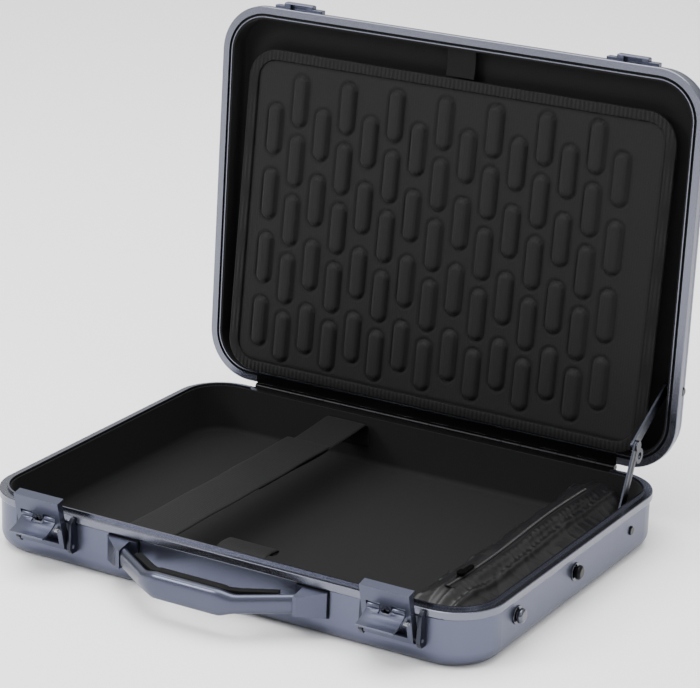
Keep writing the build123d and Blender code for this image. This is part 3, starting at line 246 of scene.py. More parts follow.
@dataclass(frozen=True)
class SatinMetal(SurfaceFinish):
    """Metal with a fine blasted or coated grain, a little wear and soft tonal drift."""

    metallic: float
    roughness: float
    grain_mm: float
    grain_depth_mm: float
    clear_coat: float = 0.0
    drift: float = 9.0
    wear: tuple[float, float] = (-0.05, 0.07)

    def lay(self, tree: Tree, shader: Node) -> None:
        """Wire drifting tones and a grain that roughens and dents the metal.

        Args:
            tree: The material's node tree.
            shader: Its surface shader.
        """
        place = add_node(tree, "ShaderNodeTexCoord").outputs["Object"]
        tone = join_colour(tree, cloud(tree, place, self.drift, 2.0), self.shade, self.colour)
        grain = cloud(tree, place, 1 / (self.grain_mm * MM), 3.0, 0.6)
        low, high = (self.roughness + change for change in self.wear)
        rough = add_node(
            tree, "ShaderNodeMapRange", {"To Min": low, "To Max": high}, {"Value": grain}
        )
        tree.links.new(tone, shader.inputs["Base Color"])
        tree.links.new(rough.outputs["Result"], shader.inputs["Roughness"])
        tree.links.new(bumps(tree, grain, 0.35, self.grain_depth_mm), shader.inputs["Normal"])
        shader.inputs["Metallic"].default_value = self.metallic
        shader.inputs["Coat Weight"].default_value = self.clear_coat


@dataclass(frozen=True)
class Cloth(SurfaceFinish):
    """Woven or knitted cloth whose threads are bumps across and along the piece."""

    thread_mm: float
    cross_mm: float
    depth_mm: float
    roughness: float
    sheen: float
    gloss: float = 0.15
    crease_mm: float = 0.0
    shade_in_creases: float = 0.0
    fuzz_mm: float = 1.6
    fuzz: float = 0.6
    creases: float = 55.0

    def threads(
        self, tree: Tree, coords: Node
    ) -> Socket:
        """Cross two sets of threads and roughen them with fuzz.

        Args:
            tree: The material's node tree.
            coords: Its coordinates.

        Returns:
            The height of the cloth.
        """
        waves = {}
        for number, (way, pitch) in enumerate((("X", self.thread_mm), ("Y", self.cross_mm))):
            wave = add_node(
                tree, "ShaderNodeTexWave",
                {
                    "bands_direction": way, "wave_profile": "SIN",
                    "Scale": WAVE_PERIOD / (pitch * MM), "Distortion": 0.6, "Detail": 1.0,
                    "Detail Scale": 2.0,
                },
                {"Vector": coords.outputs["UV"]},
            )
            waves[number] = wave.outputs["Fac"]
        weave = add_node(tree, "ShaderNodeMath", {"operation": "MULTIPLY"}, waves)
        fuzz = cloud(tree, coords.outputs["Object"], 1 / (self.fuzz_mm * MM), 4.0, 0.7)
        height = add_node(
            tree, "ShaderNodeMath", {"operation": "MULTIPLY_ADD", 1: self.fuzz},
            {0: fuzz, 2: weave.outputs["Value"]},
        )
        return height.outputs["Value"]

    def lay(self, tree: Tree, shader: Node) -> None:
        """Wire the threads, the painted shade in the creases and the folds.

        Args:
            tree: The material's node tree.
            shader: Its surface shader.
        """
        coords = add_node(tree, "ShaderNodeTexCoord")
        height = self.threads(tree, coords)
        tone = join_colour(tree, height, self.shade, self.colour)
        # Painted shade: where the mesh's crease mask is high, the colour is mixed towards black,
        # as shade in the creases.
        if self.shade_in_creases:
            painted_crease_shade = add_node(tree, "ShaderNodeAttribute", {"attribute_name": "painted_crease_shade"})
            amount = add_node(
                tree, "ShaderNodeMath",
                {"operation": "MULTIPLY", "use_clamp": True, 1: self.shade_in_creases},
                {0: painted_crease_shade.outputs["Fac"]},
            )
            darker = add_node(
                tree, "ShaderNodeMix", {"data_type": "RGBA", 7: linear("020202")},
                {0: amount.outputs["Value"], 6: tone},
            )
            tone = darker.outputs[2]
        tree.links.new(tone, shader.inputs["Base Color"])
        normal = bumps(tree, height, 0.8, self.depth_mm)
        if self.crease_mm:
            folds = cloud(tree, coords.outputs["Object"], self.creases, 5.0, 0.62, 0.9)
            normal = bumps(tree, folds, 0.75, self.crease_mm, normal)
        tree.links.new(normal, shader.inputs["Normal"])
        shader.inputs["Roughness"].default_value = self.roughness
        shader.inputs["Specular IOR Level"].default_value = self.gloss
        shader.inputs["Sheen Weight"].default_value = self.sheen
        shader.inputs["Sheen Roughness"].default_value = 0.45


@dataclass(frozen=True)
class Moulded(SurfaceFinish):
    """Rubber or plastic straight from a mould: one colour, a faint speckle and soft gloss."""

    roughness: float
    speckle_mm: float
    gloss: float = 0.5

    def lay(self, tree: Tree, shader: Node) -> None:
        """Wire the speckle.

        Args:
            tree: The material's node tree.
            shader: Its surface shader.
        """
        place = add_node(tree, "ShaderNodeTexCoord").outputs["Object"]
        speckle = cloud(tree, place, 1 / (self.speckle_mm * MM), 3.0)
        tone = join_colour(tree, speckle, self.shade, self.colour)
        tree.links.new(tone, shader.inputs["Base Color"])
        tree.links.new(bumps(tree, speckle, 0.3, 0.05), shader.inputs["Normal"])
        shader.inputs["Roughness"].default_value = self.roughness
        shader.inputs["Specular IOR Level"].default_value = self.gloss


# Pressed aluminium sheet, glass-bead blasted and anodised blue-grey: a soft, even satin that
# turns pale where it faces the light. The blasting is drawn at 0.5 mm, coarser than real.
ANODISED_SHELL = SatinMetal("anodised_aluminium_shell", "5C5F70", "565969", 1.0, 0.36, 0.5, 0.02)
# Extruded aluminium rim with the same anodising, smoother, so its edges catch brighter lines.
ANODISED_RIM = SatinMetal("anodised_aluminium_rim", "6C6E79", "646671", 1.0, 0.25, 0.4, 0.006)
# Zinc die casting, painted to match: less metallic depth and a slight sheen of lacquer.
PAINTED_CASTING = SatinMetal(
    "painted_zinc_casting", "4C4F5F", "454857", 0.9, 0.31, 0.6, 0.012, 0.15
)
# Cold-rolled steel with a black oxide coat: dark and slightly oily.
BLACK_STEEL = SatinMetal("black_oxide_steel", "141416", "0D0D0F", 0.85, 0.28, 0.5, 0.01)
# The stay's and latch plates' steel in a dark plated finish that shows grey at a glance.
DARK_PLATE = SatinMetal("dark_plated_steel", "3A3C44", "2D2F36", 1.0, 0.3, 0.5, 0.008)
# Polished brass under dark nickel: nearly a mirror.
DARK_NICKEL = SatinMetal("polished_dark_nickel", "5E6068", "4C4E56", 1.0, 0.12, 0.8, 0.002)
# Drawn steel wire and rod, bright.
BRIGHT_STEEL = SatinMetal("bright_drawn_steel", "A4A6A9", "8A8C90", 1.0, 0.24, 0.3, 0.004)
# Polyester tricot bonded over moulded EVA foam: matte, with a faint grey bloom on the pads'
# shoulders. Shade is painted darker in the creases: on the pads' lower flanks and in the
# ditches round them. The knit's 0.6 mm wales are drawn 2.2 mm apart, so that they show.
TRICOT = Cloth(
    "polyester_tricot_over_foam", "121213", "080809", 2.2, 1.1, 0.14, 0.7, 0.04, 0.2, 0.0, 1.0
)
# The same tricot stretched flat on board in the shells, a little darker in the shade.
LINING_CLOTH = Cloth("polyester_tricot_on_board", "161617", "0C0C0D", 1.6, 1.2, 0.06, 0.8, 0.03)
# Nylon webbing: tight ribs across the band, 1.6 mm apart, with the soft lustre of nylon.
WEBBING = Cloth("nylon_webbing", "121213", "080809", 1.6, 2.4, 0.16, 0.6, 0.02, 0.14)
# Grosgrain binding tape: fine ribs that catch the light, drawn coarser than the real 1 mm.
GROSGRAIN = Cloth("grosgrain_binding_tape", "131314", "030304", 2.4, 40.0, 0.5, 0.55, 0.01, 0.14)
# Coated nylon taffeta, crinkled: glossy ridges on black.
TAFFETA = Cloth("nylon_taffeta", "121214", "0A0A0B", 0.9, 0.9, 0.02, 0.4, 0.0, 0.3, 0.35)
# Thermoplastic rubber of the grip pad: deep black with a dull bloom.
RUBBER = Moulded("thermoplastic_rubber", "0A0A0B", "060607", 0.6, 0.9, 0.12)
# Nylon zip coil and its thread.
NYLON_COIL = Moulded("nylon_zip_coil", "1E1E21", "121214", 0.3, 0.5)


# ---- modelling by hand


class Bench:
    """Moves made as by hand with Blender's own tools. Sizes are in metres."""

    @staticmethod
    def clear() -> None:
        """Leave nothing selected."""
        bpy.ops.object.select_all(action="DESELECT")

    @staticmethod
    def take(piece: Piece) -> None:
        """Select one piece alone and make it the active one.

        Args:
            piece: The piece.
        """
        Bench.clear()
        piece.select_set(True)
        bpy.context.view_layer.objects.active = piece

    @staticmethod
    def named(name: str) -> Piece:
        """Name the object that was just added.

        Args:
            name: Its name.

        Returns:
            The object.
        """
        piece = bpy.context.object
        piece.name = name
        piece.data.name = name
        return piece

    @classmethod
    def cube(cls, name: str, low: Sequence[float], high: Sequence[float]) -> Piece:
        """Add a block between two corners given in millimetres.

        Args:
            name: Name of the piece.
            low: Lowest corner.
            high: Highest corner.

        Returns:
            The block.
        """
        cls.clear()
        middle = [(a + b) / 2 * MM for a, b in zip(low, high)]
        bpy.ops.mesh.primitive_cube_add(size=1, location=middle)
        piece = cls.named(name)
        piece.scale = [(b - a) * MM for a, b in zip(low, high)]
        bpy.ops.object.transform_apply(location=True, rotation=True, scale=True)
        return piece

    @classmethod
    def grid(
        cls, name: str, width: float, length: float, across: int, along: int
    ) -> Piece:
        """Add a flat grid centred on the origin.

        Args:
            name: Name of the piece.
            width: Size along x in millimetres.
            length: Size along y in millimetres.
            across: Number of cells along x.
            along: Number of cells along y.

        Returns:
            The grid.
        """
        cls.clear()
        bpy.ops.mesh.primitive_grid_add(x_subdivisions=across, y_subdivisions=along, size=1)
        piece = cls.named(name)
        piece.scale = (width * MM, length * MM, 1)
        bpy.ops.object.transform_apply(location=False, rotation=False, scale=True)
        return piece

    @staticmethod
    @contextmanager
    def editing(piece: Piece, mode: str = "FACE") -> Iterator[None]:
        """Open a piece in edit mode with nothing selected, and close it afterwards.

        Args:
            piece: The piece.
            mode: What is picked: VERT, EDGE or FACE.

        Yields:
            Nothing, while the piece is open.
        """
        Bench.take(piece)
        bpy.ops.object.mode_set(mode="EDIT")
        bpy.ops.mesh.select_mode(type=mode)
        bpy.ops.mesh.select_all(action="DESELECT")
        yield
        bpy.ops.object.mode_set(mode="OBJECT")

    @staticmethod
    def pick_faces(piece: Piece, wanted: Callable[[Vector, Vector], bool]) -> None:
        """Select the faces that pass a test.

        Args:
            piece: The piece in edit mode.
            wanted: Test of a face's centre, in millimetres, and normal.
        """
        mesh = bmesh.from_edit_mesh(piece.data)
        bpy.ops.mesh.select_all(action="DESELECT")
        for face in mesh.faces:
            if wanted(face.calc_center_median() / MM, face.normal):
                face.select_set(True)
        bmesh.update_edit_mesh(piece.data)

    @staticmethod
    def pick_edges(piece: Piece, wanted: Callable[[Vector, Vector], bool]) -> None:
        """Select the edges that pass a test.

        Args:
            piece: The piece in edit mode.
            wanted: Test of an edge's middle, in millimetres, and unit direction.
        """
        mesh = bmesh.from_edit_mesh(piece.data)
        bpy.ops.mesh.select_all(action="DESELECT")
        for edge in mesh.edges:
            start, end = edge.verts[0].co, edge.verts[1].co
            if wanted((start + end) / 2 / MM, (end - start).normalized()):
                edge.select_set(True)
        bmesh.update_edit_mesh(piece.data)

    @staticmethod
    def close_skin(piece: Piece) -> None:
        """Merge doubled points, fill the holes and turn every face outwards.

        Args:
            piece: The piece.
        """
        with Bench.editing(piece, "VERT"):
            bpy.ops.mesh.select_all(action="SELECT")
            bpy.ops.mesh.remove_doubles(threshold=WELD)
            bpy.ops.mesh.select_all(action="SELECT")
            bpy.ops.mesh.fill_holes(sides=0)
            bpy.ops.mesh.select_all(action="SELECT")
            bpy.ops.mesh.normals_make_consistent(inside=False)

    @staticmethod
    def apply(piece: Piece, kind: str, **settings: object) -> None:
        """Add one modifier, set it and apply it.

        Args:
            piece: The piece it shapes.
            kind: Blender's type name of the modifier.
            **settings: Attributes of the modifier.
        """
        Bench.take(piece)
        modifier = piece.modifiers.new(kind.lower(), kind)
        for key, value in settings.items():
            setattr(modifier, key, value)
        if kind == "SUBSURF":
            modifier.render_levels = modifier.levels
        bpy.ops.object.modifier_apply(modifier=modifier.name)

    @staticmethod
    def round_edges(
        piece: Piece, radius: float, steps: int, wanted: Callable[[Vector, Vector], bool]
    ) -> None:
        """Round the edges that pass a test.

        Args:
            piece: The piece.
            radius: Radius in millimetres.
            steps: Facets of each edge.
            wanted: Test of an edge's middle, in millimetres, and unit direction.
        """
        with Bench.editing(piece, "EDGE"):
            Bench.pick_edges(piece, wanted)
            bpy.ops.mesh.bevel(offset=radius * MM, segments=steps, affect="EDGES")

    @staticmethod
    def round_columns(piece: Piece, radius: float, steps: int) -> None:
        """Round a block's upright edges.

        Args:
            piece: The block.
            radius: Radius in millimetres.
            steps: Facets of each corner.
        """
        Bench.round_edges(piece, radius, steps, lambda middle, way: abs(way.z) > 0.99)

    @classmethod
    def ring(
        cls, name: str, half: tuple[float, float], heights: tuple[float, float], corner: float,
        width: float,
    ) -> Piece:
        """Shape a flat ring with rounded corners, centred on the upright axis.

        Args:
            name: Name of the piece.
            half: Half its size along x and y in millimetres.
            heights: Lowest and highest height.
            corner: Outer radius of its corners.
            width: Width of the band.

        Returns:
            The ring.
        """
        x, y = half
        piece = cls.cube(name, (-x, -y, heights[0]), (x, y, heights[1]))
        cls.round_columns(piece, corner, 14)
        with cls.editing(piece):
            cls.pick_faces(piece, lambda centre, normal: abs(normal.z) > 0.9)
            bpy.ops.mesh.inset(thickness=width * MM)
            bpy.ops.mesh.bridge_edge_loops()
        return piece

    @staticmethod
    def turn_lid(piece: Piece) -> None:
        """Turn a piece made in the closed lid with the open lid, in its mesh."""
        piece.data.transform(CASE.open_lid())

    @staticmethod
    def smooth(piece: Piece, angle: float = 35.0) -> None:
        """Shade a piece smooth, but for its sharp edges.

        Args:
            piece: The piece.
            angle: Angle in degrees past which an edge stays sharp.
        """
        Bench.take(piece)
        bpy.ops.object.shade_smooth_by_angle(angle=math.radians(angle))

    @staticmethod
    def merged_copy(node: str, name: str) -> Piece:
        """Copy a CAD node's mesh, with its loose triangles merged into one skin.

        Args:
            node: The CAD node.
            name: Name of the new piece.

        Returns:
            The copy.
        """
        Bench.clear()
        piece = bpy.data.objects.new(name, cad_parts[node].data.copy())
        bpy.context.scene.collection.objects.link(piece)
        piece.data.materials.clear()
        with Bench.editing(piece, "VERT"):
            bpy.ops.mesh.select_all(action="SELECT")
            bpy.ops.mesh.remove_doubles(threshold=0.005 * MM)
            bpy.ops.mesh.tris_convert_to_quads()
        piece.data.name = name
        return piece

    @staticmethod
    def finish(
        piece: Piece, body: str, finish: SurfaceFinish, slot: str,
        stands_for: Sequence[str] = (),
    ) -> Piece:
        """Give a piece its finish and its body, and let it stand for its CAD nodes.

        Args:
            piece: The piece.
            body: CAD body that it moves with.
            finish: The finish of its surface.
            slot: Name of a material slot; not used.
            stands_for: CAD nodes that it replaces.

        Returns:
            The same piece.
        """
        piece.data.materials.clear()
        piece.data.materials.append(finish())
        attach(piece, body)
        if stands_for:
            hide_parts(*stands_for)
        LOG.info("%s on %s: %d faces", piece.name, body, len(piece.data.polygons))
        return piece


def map_band(piece: Piece, along: Callable[[Vector], tuple[float, float]]) -> None:
    """Add a UV map in metres along and across a band, beside the first map, which is drawn.

    Args:
        piece: The piece.
        along: Place along and across, in metres, of a point in millimetres.
    """
    layer = piece.data.uv_layers.new(name="band")
    for polygon in piece.data.polygons:
        places = [along(piece.data.vertices[v].co / MM) for v in polygon.vertices]
        start = places[0][0]
        for loop, (run, side) in zip(polygon.loop_indices, places):
            layer.data[loop].uv = (run, side)
        if max(abs(p[0] - start) for p in places) > 0.3:
            for loop, (run, side) in zip(polygon.loop_indices, places):
                layer.data[loop].uv = (run if run > 0.3 else run + start, side)


def map_strip(piece: Piece, width: float, length: float) -> None:
    """Scale a grid's own UV map to real metres along and across a strip.

    Args:
        piece: The grid.
        width: Width in millimetres, along the grid's x.
        length: Length in millimetres, along the grid's y.
    """
    layer = piece.data.uv_layers.active
    for loop in piece.data.loops:
        across, share = layer.data[loop.index].uv
        layer.data[loop.index].uv = (share * length * MM, across * width * MM)


def map_box(piece: Piece) -> None:
    """Give a piece a UV map in metres, each face seen along the axis that it faces most.

    Args:
        piece: The piece.
    """
    layer = piece.data.uv_layers.active or piece.data.uv_layers.new(name="box")
    for polygon in piece.data.polygons:
        away = max(range(3), key=lambda axis: abs(polygon.normal[axis]))
        first, second = [axis for axis in range(3) if axis != away]
        for loop, corner in zip(polygon.loop_indices, polygon.vertices):
            place = piece.data.vertices[corner].co
            layer.data[loop].uv = (place[first], place[second])


# ---- metal parts


class EdgeWear(Enum):
    """How an edge of a metal part was left."""

    CRISP = (0.25, 2)
    EASED = (0.45, 3)


# Finish, edge and CAD nodes; in the second table each name stands for a left and a right node.
METAL_PARTS = (
    (ANODISED_SHELL, None, "base_shell lid_shell"),
    (ANODISED_RIM, None, "base_frame lid_frame"),
    (BLACK_STEEL, None, "hinge_leaf_base hinge_leaf_lid hinge_pin"),
    (BLACK_STEEL, None, "hinge_rivets_base hinge_rivets_lid strap_stud_middle"),
    (BLACK_STEEL, EdgeWear.CRISP, "stay_rivet_base stay_rivet_lid zip_slider"),
    (DARK_PLATE, EdgeWear.CRISP, "stay_lower stay_upper stay_rivet_elbow"),
    (DARK_NICKEL, None, "strap_stud_front"),
    (DARK_NICKEL, EdgeWear.CRISP, "stud_washers"),
)
PAIRED_PARTS = (
    (DARK_PLATE, EdgeWear.EASED, "latch_base"),
    (PAINTED_CASTING, EdgeWear.EASED, "latch_lever latch_keeper handle_mount"),
    (PAINTED_CASTING, EdgeWear.CRISP, "latch_flap"),
    (BRIGHT_STEEL, None, "latch_pin flap_pins handle_pin"),
    (DARK_NICKEL, EdgeWear.CRISP, "lock_cylinder"),
    (RUBBER, EdgeWear.CRISP, "handle_gasket"),
)


@dataclass
class MetalDressing:
    """Finishes and eased edges of the metal parts, whose shapes come from the CAD."""

    sharp: float = 35.0

    def part(self, node: str, finish: SurfaceFinish, edge: Optional[EdgeWear]) -> None:
        """Give one CAD node its finish and ease its edges.

        Args:
            node: The CAD node.
            finish: The finish of its surface.
            edge: How its edges were left.
        """
        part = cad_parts[node]
        part.data.materials.clear()
        part.data.materials.append(finish())
        if not edge:
            return
        width, steps = edge.value
        weld = part.modifiers.new("weld", "WELD")
        weld.merge_threshold = WELD
        ease = part.modifiers.new("eased_edges", "BEVEL")
        ease.width = width * MM
        ease.segments = steps
        ease.limit_method = "ANGLE"
        ease.angle_limit = math.radians(self.sharp)
        ease.harden_normals = True

    def dress(self) -> None:
        """Dress every metal node."""
        count = 0
        for table, sides in ((METAL_PARTS, ("",)), (PAIRED_PARTS, ("_left", "_right"))):
            for finish, edge, names in table:
                for node in (name + side for name in names.split() for side in sides):
                    self.part(node, finish, edge)
                    count += 1
        LOG.info("dressed %d metal nodes", count)


# ---- linings


@dataclass
class Linings:
    """Fabric-faced trays that line the two shells."""

    wall: float = 1.2
    base_inset: float = 7.9
    base_low: float = 1.75
    base_high: float = 44.7
    base_floor: float = 4.2
    lid_inset: float = 9.2
    lid_low: float = 45.8
    lid_high: float = 65.2
    lid_ceiling: float = 62.8
    floor_round: float = 5.0
    ceiling_round: float = 4.0
    steps: int = 14

    def tray(
        self, name: str, inset: float, low: float, high: float, face: float, sink: float,
        soft: float,
    ) -> Piece:
        """Shape a tray from a block: rounded corners, a sunk face and a rounded floor.

        Args:
            name: Name of the piece.
            inset: Distance in from the case's outer face.
            low: Lowest height.
            high: Highest height.
            face: +1 if the tray opens upwards, -1 downwards.
            sink: Height of the tray's floor.
            soft: Radius between wall and floor.

        Returns:
            The tray.
        """
        x, y = CASE.width / 2 - inset, CASE.depth / 2 - inset
        piece = Bench.cube(name, (-x, -y, low), (x, y, high))
        Bench.round_columns(piece, CASE.corner - inset, self.steps)
        rim = high if face > 0 else low
        with Bench.editing(piece):
            Bench.pick_faces(piece, lambda centre, normal: normal.z * face > 0.9)
            bpy.ops.mesh.inset(thickness=self.wall * MM)
            bpy.ops.mesh.extrude_region_move(
                TRANSFORM_OT_translate={"value": (0, 0, (sink - rim) * MM)}
            )
        reach = CASE.width / 2 - inset - self.wall / 2
        Bench.round_edges(
            piece, soft, 5,
            lambda middle, way: abs(middle.z - sink) < 0.01 and abs(middle.x) < reach,
        )
        map_box(piece)
        Bench.smooth(piece, 40)
        return piece

    def build(self) -> None:
        """Make both trays."""
        base = self.tray(
            "base_tray", self.base_inset, self.base_low, self.base_high, 1, self.base_floor,
            self.floor_round,
        )
        Bench.finish(base, "base", LINING_CLOTH, "black_board", ["base_lining"])
        lid = self.tray(
            "lid_tray", self.lid_inset, self.lid_low, self.lid_high, -1, self.lid_ceiling,
            self.ceiling_round,
        )
        Bench.turn_lid(lid)
        Bench.finish(lid, "lid", LINING_CLOTH, "black_board", ["lid_lining"])


# ---- padded sleeve


@dataclass
class PaddedSleeve:
    """Moulded pad in the lid with raised oblong pads, a ribbed binding and its loop."""

    width: float = 384.0
    top_y: float = -124.0
    bottom_y: float = 146.5
    top_depth: float = 8.4
    bottom_depth: float = -7.5
    thick: float = 5.0
    corner: float = 26.0
    binding: float = 9.0
    proud: float = 1.4
    pad_width: float = 12.4
    pad_proud: float = 3.0
    pad_gap: float = 8.4
    from_left: float = 12.8
    from_right: float = 22.8
    from_top: float = 4.7
    from_bottom: float = 9.2
    outer_inset: float = 17.8
    columns: int = 15
    drop_left: tuple[float, float] = (13.4, 5.8)
    drop_right: tuple[float, float] = (5.0, 0.6)
    shift: tuple[float, float] = (-0.2, -5.6)
    cell: float = 1.3
    loop_x: float = 1.0
    loop_width: float = 25.0
    loop_thick: float = 1.4
    lid_wall_y: float = -148.3
    crown: tuple[float, float] = (3.4, 0.55)
    ditch: tuple[float, float] = (2.6, 0.9)
    border: tuple[float, float] = (3.0, 0.7)
    margin: float = 2.0
    tape_ease: float = 1.1

    @property
    def length(self) -> float:
        """Length from the top edge to the bottom edge."""
        return math.hypot(self.bottom_y - self.top_y, self.bottom_depth - self.top_depth)

    def to_lid(self) -> Matrix:
        """Find the place of the sleeve's own sheet in the open lid.

        Returns:
            The turn from the sheet, x across and y down, to the lid.
        """
        top = Vector((0, self.top_y, CASE.base_height + self.top_depth)) * MM
        bottom = Vector((0, self.bottom_y, CASE.base_height + self.bottom_depth)) * MM
        down = (bottom - top).normalized()
        across = Vector((-1, 0, 0))
        out = across.cross(down)
        turn = Matrix((across, down, out)).transposed().to_4x4()
        return CASE.open_lid() @ Matrix.Translation((top + bottom) / 2) @ turn

    def pads(self) -> list[tuple[float, float]]:
        """Spread the raised pads over the sheet.

        Returns:
            Their centres in the sheet's own axes, in millimetres.
        """
        half = self.pad_width / 2
        left = -self.width / 2 + self.binding + self.from_left + half
        right = self.width / 2 - self.binding - self.from_right - half
        top = -self.length / 2 + self.binding + self.from_top + self.pad_length / 2
        bottom = self.length / 2 - self.binding - self.from_bottom - self.pad_length / 2
        step = (right - left) / (self.columns - 1)
        places = []
        for column in range(self.columns):
            rows = 5 if column % 2 else 4
            inset = 0 if column % 2 else self.outer_inset
            pitch = (bottom - top - 2 * inset) / (rows - 1)
            share = column / (self.columns - 1)
            kind = column % 2
            drop = self.drop_left[kind] * (1 - share) + self.drop_right[kind] * share
            x = left + column * step + self.shift[0] * (1 - share) + self.shift[1] * share
            places += [(-x, top + inset + drop + row * pitch) for row in range(rows)]
        return places

    @property
    def pad_length(self) -> float:
        """Length of one raised pad."""
        inside = self.length - 2 * self.binding - self.from_top - self.from_bottom
        return (inside - 4 * self.pad_gap) / 5

    def relief(self, x: float, y: float, places: Sequence[tuple[float, float]]) -> float:
        """Return the height of the moulded face at a point, in millimetres.

        Args:
            x: Place across the sheet.
            y: Place down the sheet.
            places: Centres of the raised pads.

        Returns:
            Height above the sheet's flat face.
        """
        radius = self.pad_width / 2
        reach = self.pad_length / 2 - radius
        (ditch, deep), (border, sink) = self.ditch, self.border
        height = 0.0
        for px, py in places:
            dx, dy = abs(x - px), max(0.0, abs(y - py) - reach)
            if dx > radius + 3 or dy > radius + 3:
                continue
            gap = math.hypot(dx, dy)
            if gap < radius:
                share = gap / radius
                height = self.pad_proud * (1 - share ** self.crown[0]) ** self.crown[1]
            elif gap < radius + ditch:
                height = min(height, -deep * math.sin(math.pi * (gap - radius) / ditch))
        edge = min(
            self.width / 2 - self.binding - abs(x), self.length / 2 - self.binding - abs(y)
        )
        if edge < border:
            height -= sink * (1 - max(edge, 0) / border) ** 2
        return height

    def panel(self) -> Piece:
        """Raise the pads from a fine grid and give the sheet its back.

        Returns:
            The panel.
        """
        width, length = self.width - 2 * self.margin, self.length - 2 * self.margin
        across, along = round(width / self.cell), round(length / self.cell)
        piece = Bench.grid("sleeve_pad", width, length, across, along)
        corner = self.corner - self.margin
        centre = (width / 2 - corner, length / 2 - corner)
        with Bench.editing(piece, "VERT"):
            mesh = bmesh.from_edit_mesh(piece.data)
            for vert in mesh.verts:
                x, y = abs(vert.co.x) / MM - centre[0], abs(vert.co.y) / MM - centre[1]
                vert.select_set(x > 0 and y > 0 and math.hypot(x, y) > corner)
            bmesh.update_edit_mesh(piece.data)
            bpy.ops.mesh.delete(type="VERT")
        places = self.pads()
        columns: dict[int, list[tuple[float, float]]] = {}
        for px, py in places:
            for key in range(int((px - 12) // 8), int((px + 12) // 8) + 1):
                columns.setdefault(key, []).append((px, py))
        # Painted shade: a mask that darkens the pads' lower flanks and the ditches round them,
        # where shade falls.
        painted_crease_shade = piece.data.attributes.new("painted_crease_shade", "FLOAT", "POINT")
        for vert in piece.data.vertices:
            x, y = vert.co.x / MM, vert.co.y / MM
            height = self.relief(x, y, columns.get(int(x // 8), []))
            vert.co.z = height * MM
            steep = 1 - abs(height / self.pad_proud - 0.25) / 0.45
            painted_crease_shade.data[vert.index].value = max(0.0, steep) if height > 0.05 else -height
        with Bench.editing(piece, "EDGE"):
            bpy.ops.mesh.select_all(action="SELECT")
            bpy.ops.mesh.region_to_loop()
            bpy.ops.mesh.extrude_region_move()
            bpy.ops.transform.translate(value=(0, 0, -self.thick * MM))
            bpy.ops.mesh.edge_face_add()
        map_box(piece)
        piece.data.transform(self.to_lid())
        Bench.smooth(piece, 60)
        return Bench.finish(piece, "sleeve", TRICOT, "black_eva", ["sleeve_panel"])

    def edge_tape(self) -> Piece:
        """Bind the sheet's edge with a ribbed tape that is folded round it.

        Returns:
            The binding.
        """
        x, y = self.width / 2, self.length / 2
        piece = Bench.ring(
            "sleeve_edge_tape", (x, y), (-self.proud, self.proud), self.corner, self.binding
        )
        with Bench.editing(piece, "EDGE"):
            Bench.pick_edges(piece, lambda middle, way: abs(way.z) < 0.5 and abs(middle.z) > 1.3)
            mesh = bmesh.from_edit_mesh(piece.data)
            for edge in mesh.edges:
                if edge.select and edge.calc_face_angle(0) < 0.5:
                    edge.select_set(False)
            bmesh.update_edit_mesh(piece.data)
            bpy.ops.mesh.bevel(offset=self.tape_ease * MM, segments=3, affect="EDGES")
        straight_x, straight_y = x - self.corner, y - self.corner
        quarter = math.pi / 2 * (self.corner - self.binding / 2)

        def along(point: Vector) -> tuple[float, float]:
            """Measure the tape.

            Args:
                point: A point of the tape in millimetres.

            Returns:
                The run round the edge and the place across the tape, in metres.
            """
            px, py = point.x, point.y
            cx = max(-straight_x, min(straight_x, px))
            cy = max(-straight_y, min(straight_y, py))
            off = Vector((px - cx, py - cy))
            across = off.length
            turn = math.atan2(off.y, off.x) % math.tau
            side = int(turn // (math.pi / 2)) % 4
            bend = (turn % (math.pi / 2)) / (math.pi / 2) * quarter
            starts = [0.0, 2 * straight_x, 2 * (straight_x + straight_y), 4 * straight_x]
            starts[3] += 2 * straight_y
            base = starts[side] + side * quarter
            if abs(off.x) < 1e-3 and off.y > 0:
                base, bend = quarter, straight_x - px
            elif abs(off.y) < 1e-3 and off.x < 0:
                base, bend = 2 * quarter + 2 * straight_x, straight_y - py
            elif abs(off.x) < 1e-3 and off.y < 0:
                base, bend = 3 * quarter + 2 * (straight_x + straight_y), px + straight_x
            elif abs(off.y) < 1e-3 and off.x > 0:
                base, bend = -2 * straight_y, py + straight_y
            return ((base + bend) * MM, across * MM)

        map_band(piece, along)
        piece.data.transform(self.to_lid())
        Bench.smooth(piece, 40)
        return Bench.finish(piece, "sleeve", GROSGRAIN, "black_webbing", ["sleeve_binding"])

    def loop(self) -> Piece:
        """Hang the loop that ties the sleeve's top edge to the lid's wall.

        Returns:
            The loop.
        """
        depth = CASE.base_height + self.top_depth + 1.4
        length = self.top_y - 0.7 - self.lid_wall_y
        piece = Bench.grid("sleeve_loop_web", self.loop_width, length, 10, 14)
        for vert in piece.data.vertices:
            share = vert.co.y / MM / length + 0.5
            vert.co.z += (depth + 1.6 * math.sin(math.pi * share)) * MM
            vert.co.x += self.loop_x * MM
            vert.co.y += (self.lid_wall_y + length / 2) * MM
        map_band(piece, lambda point: (point.y * MM, point.x * MM))
        Bench.apply(piece, "SOLIDIFY", thickness=self.loop_thick * MM, offset=0)
        Bench.turn_lid(piece)
        Bench.smooth(piece, 50)
        Bench.finish(piece, "lid", WEBBING, "black_webbing", ["sleeve_loop"])
        return piece

    def build(self) -> None:
        """Make the sleeve, its binding and its loop."""
        panel = self.panel()
        self.edge_tape()
        self.loop()


# ---- straps


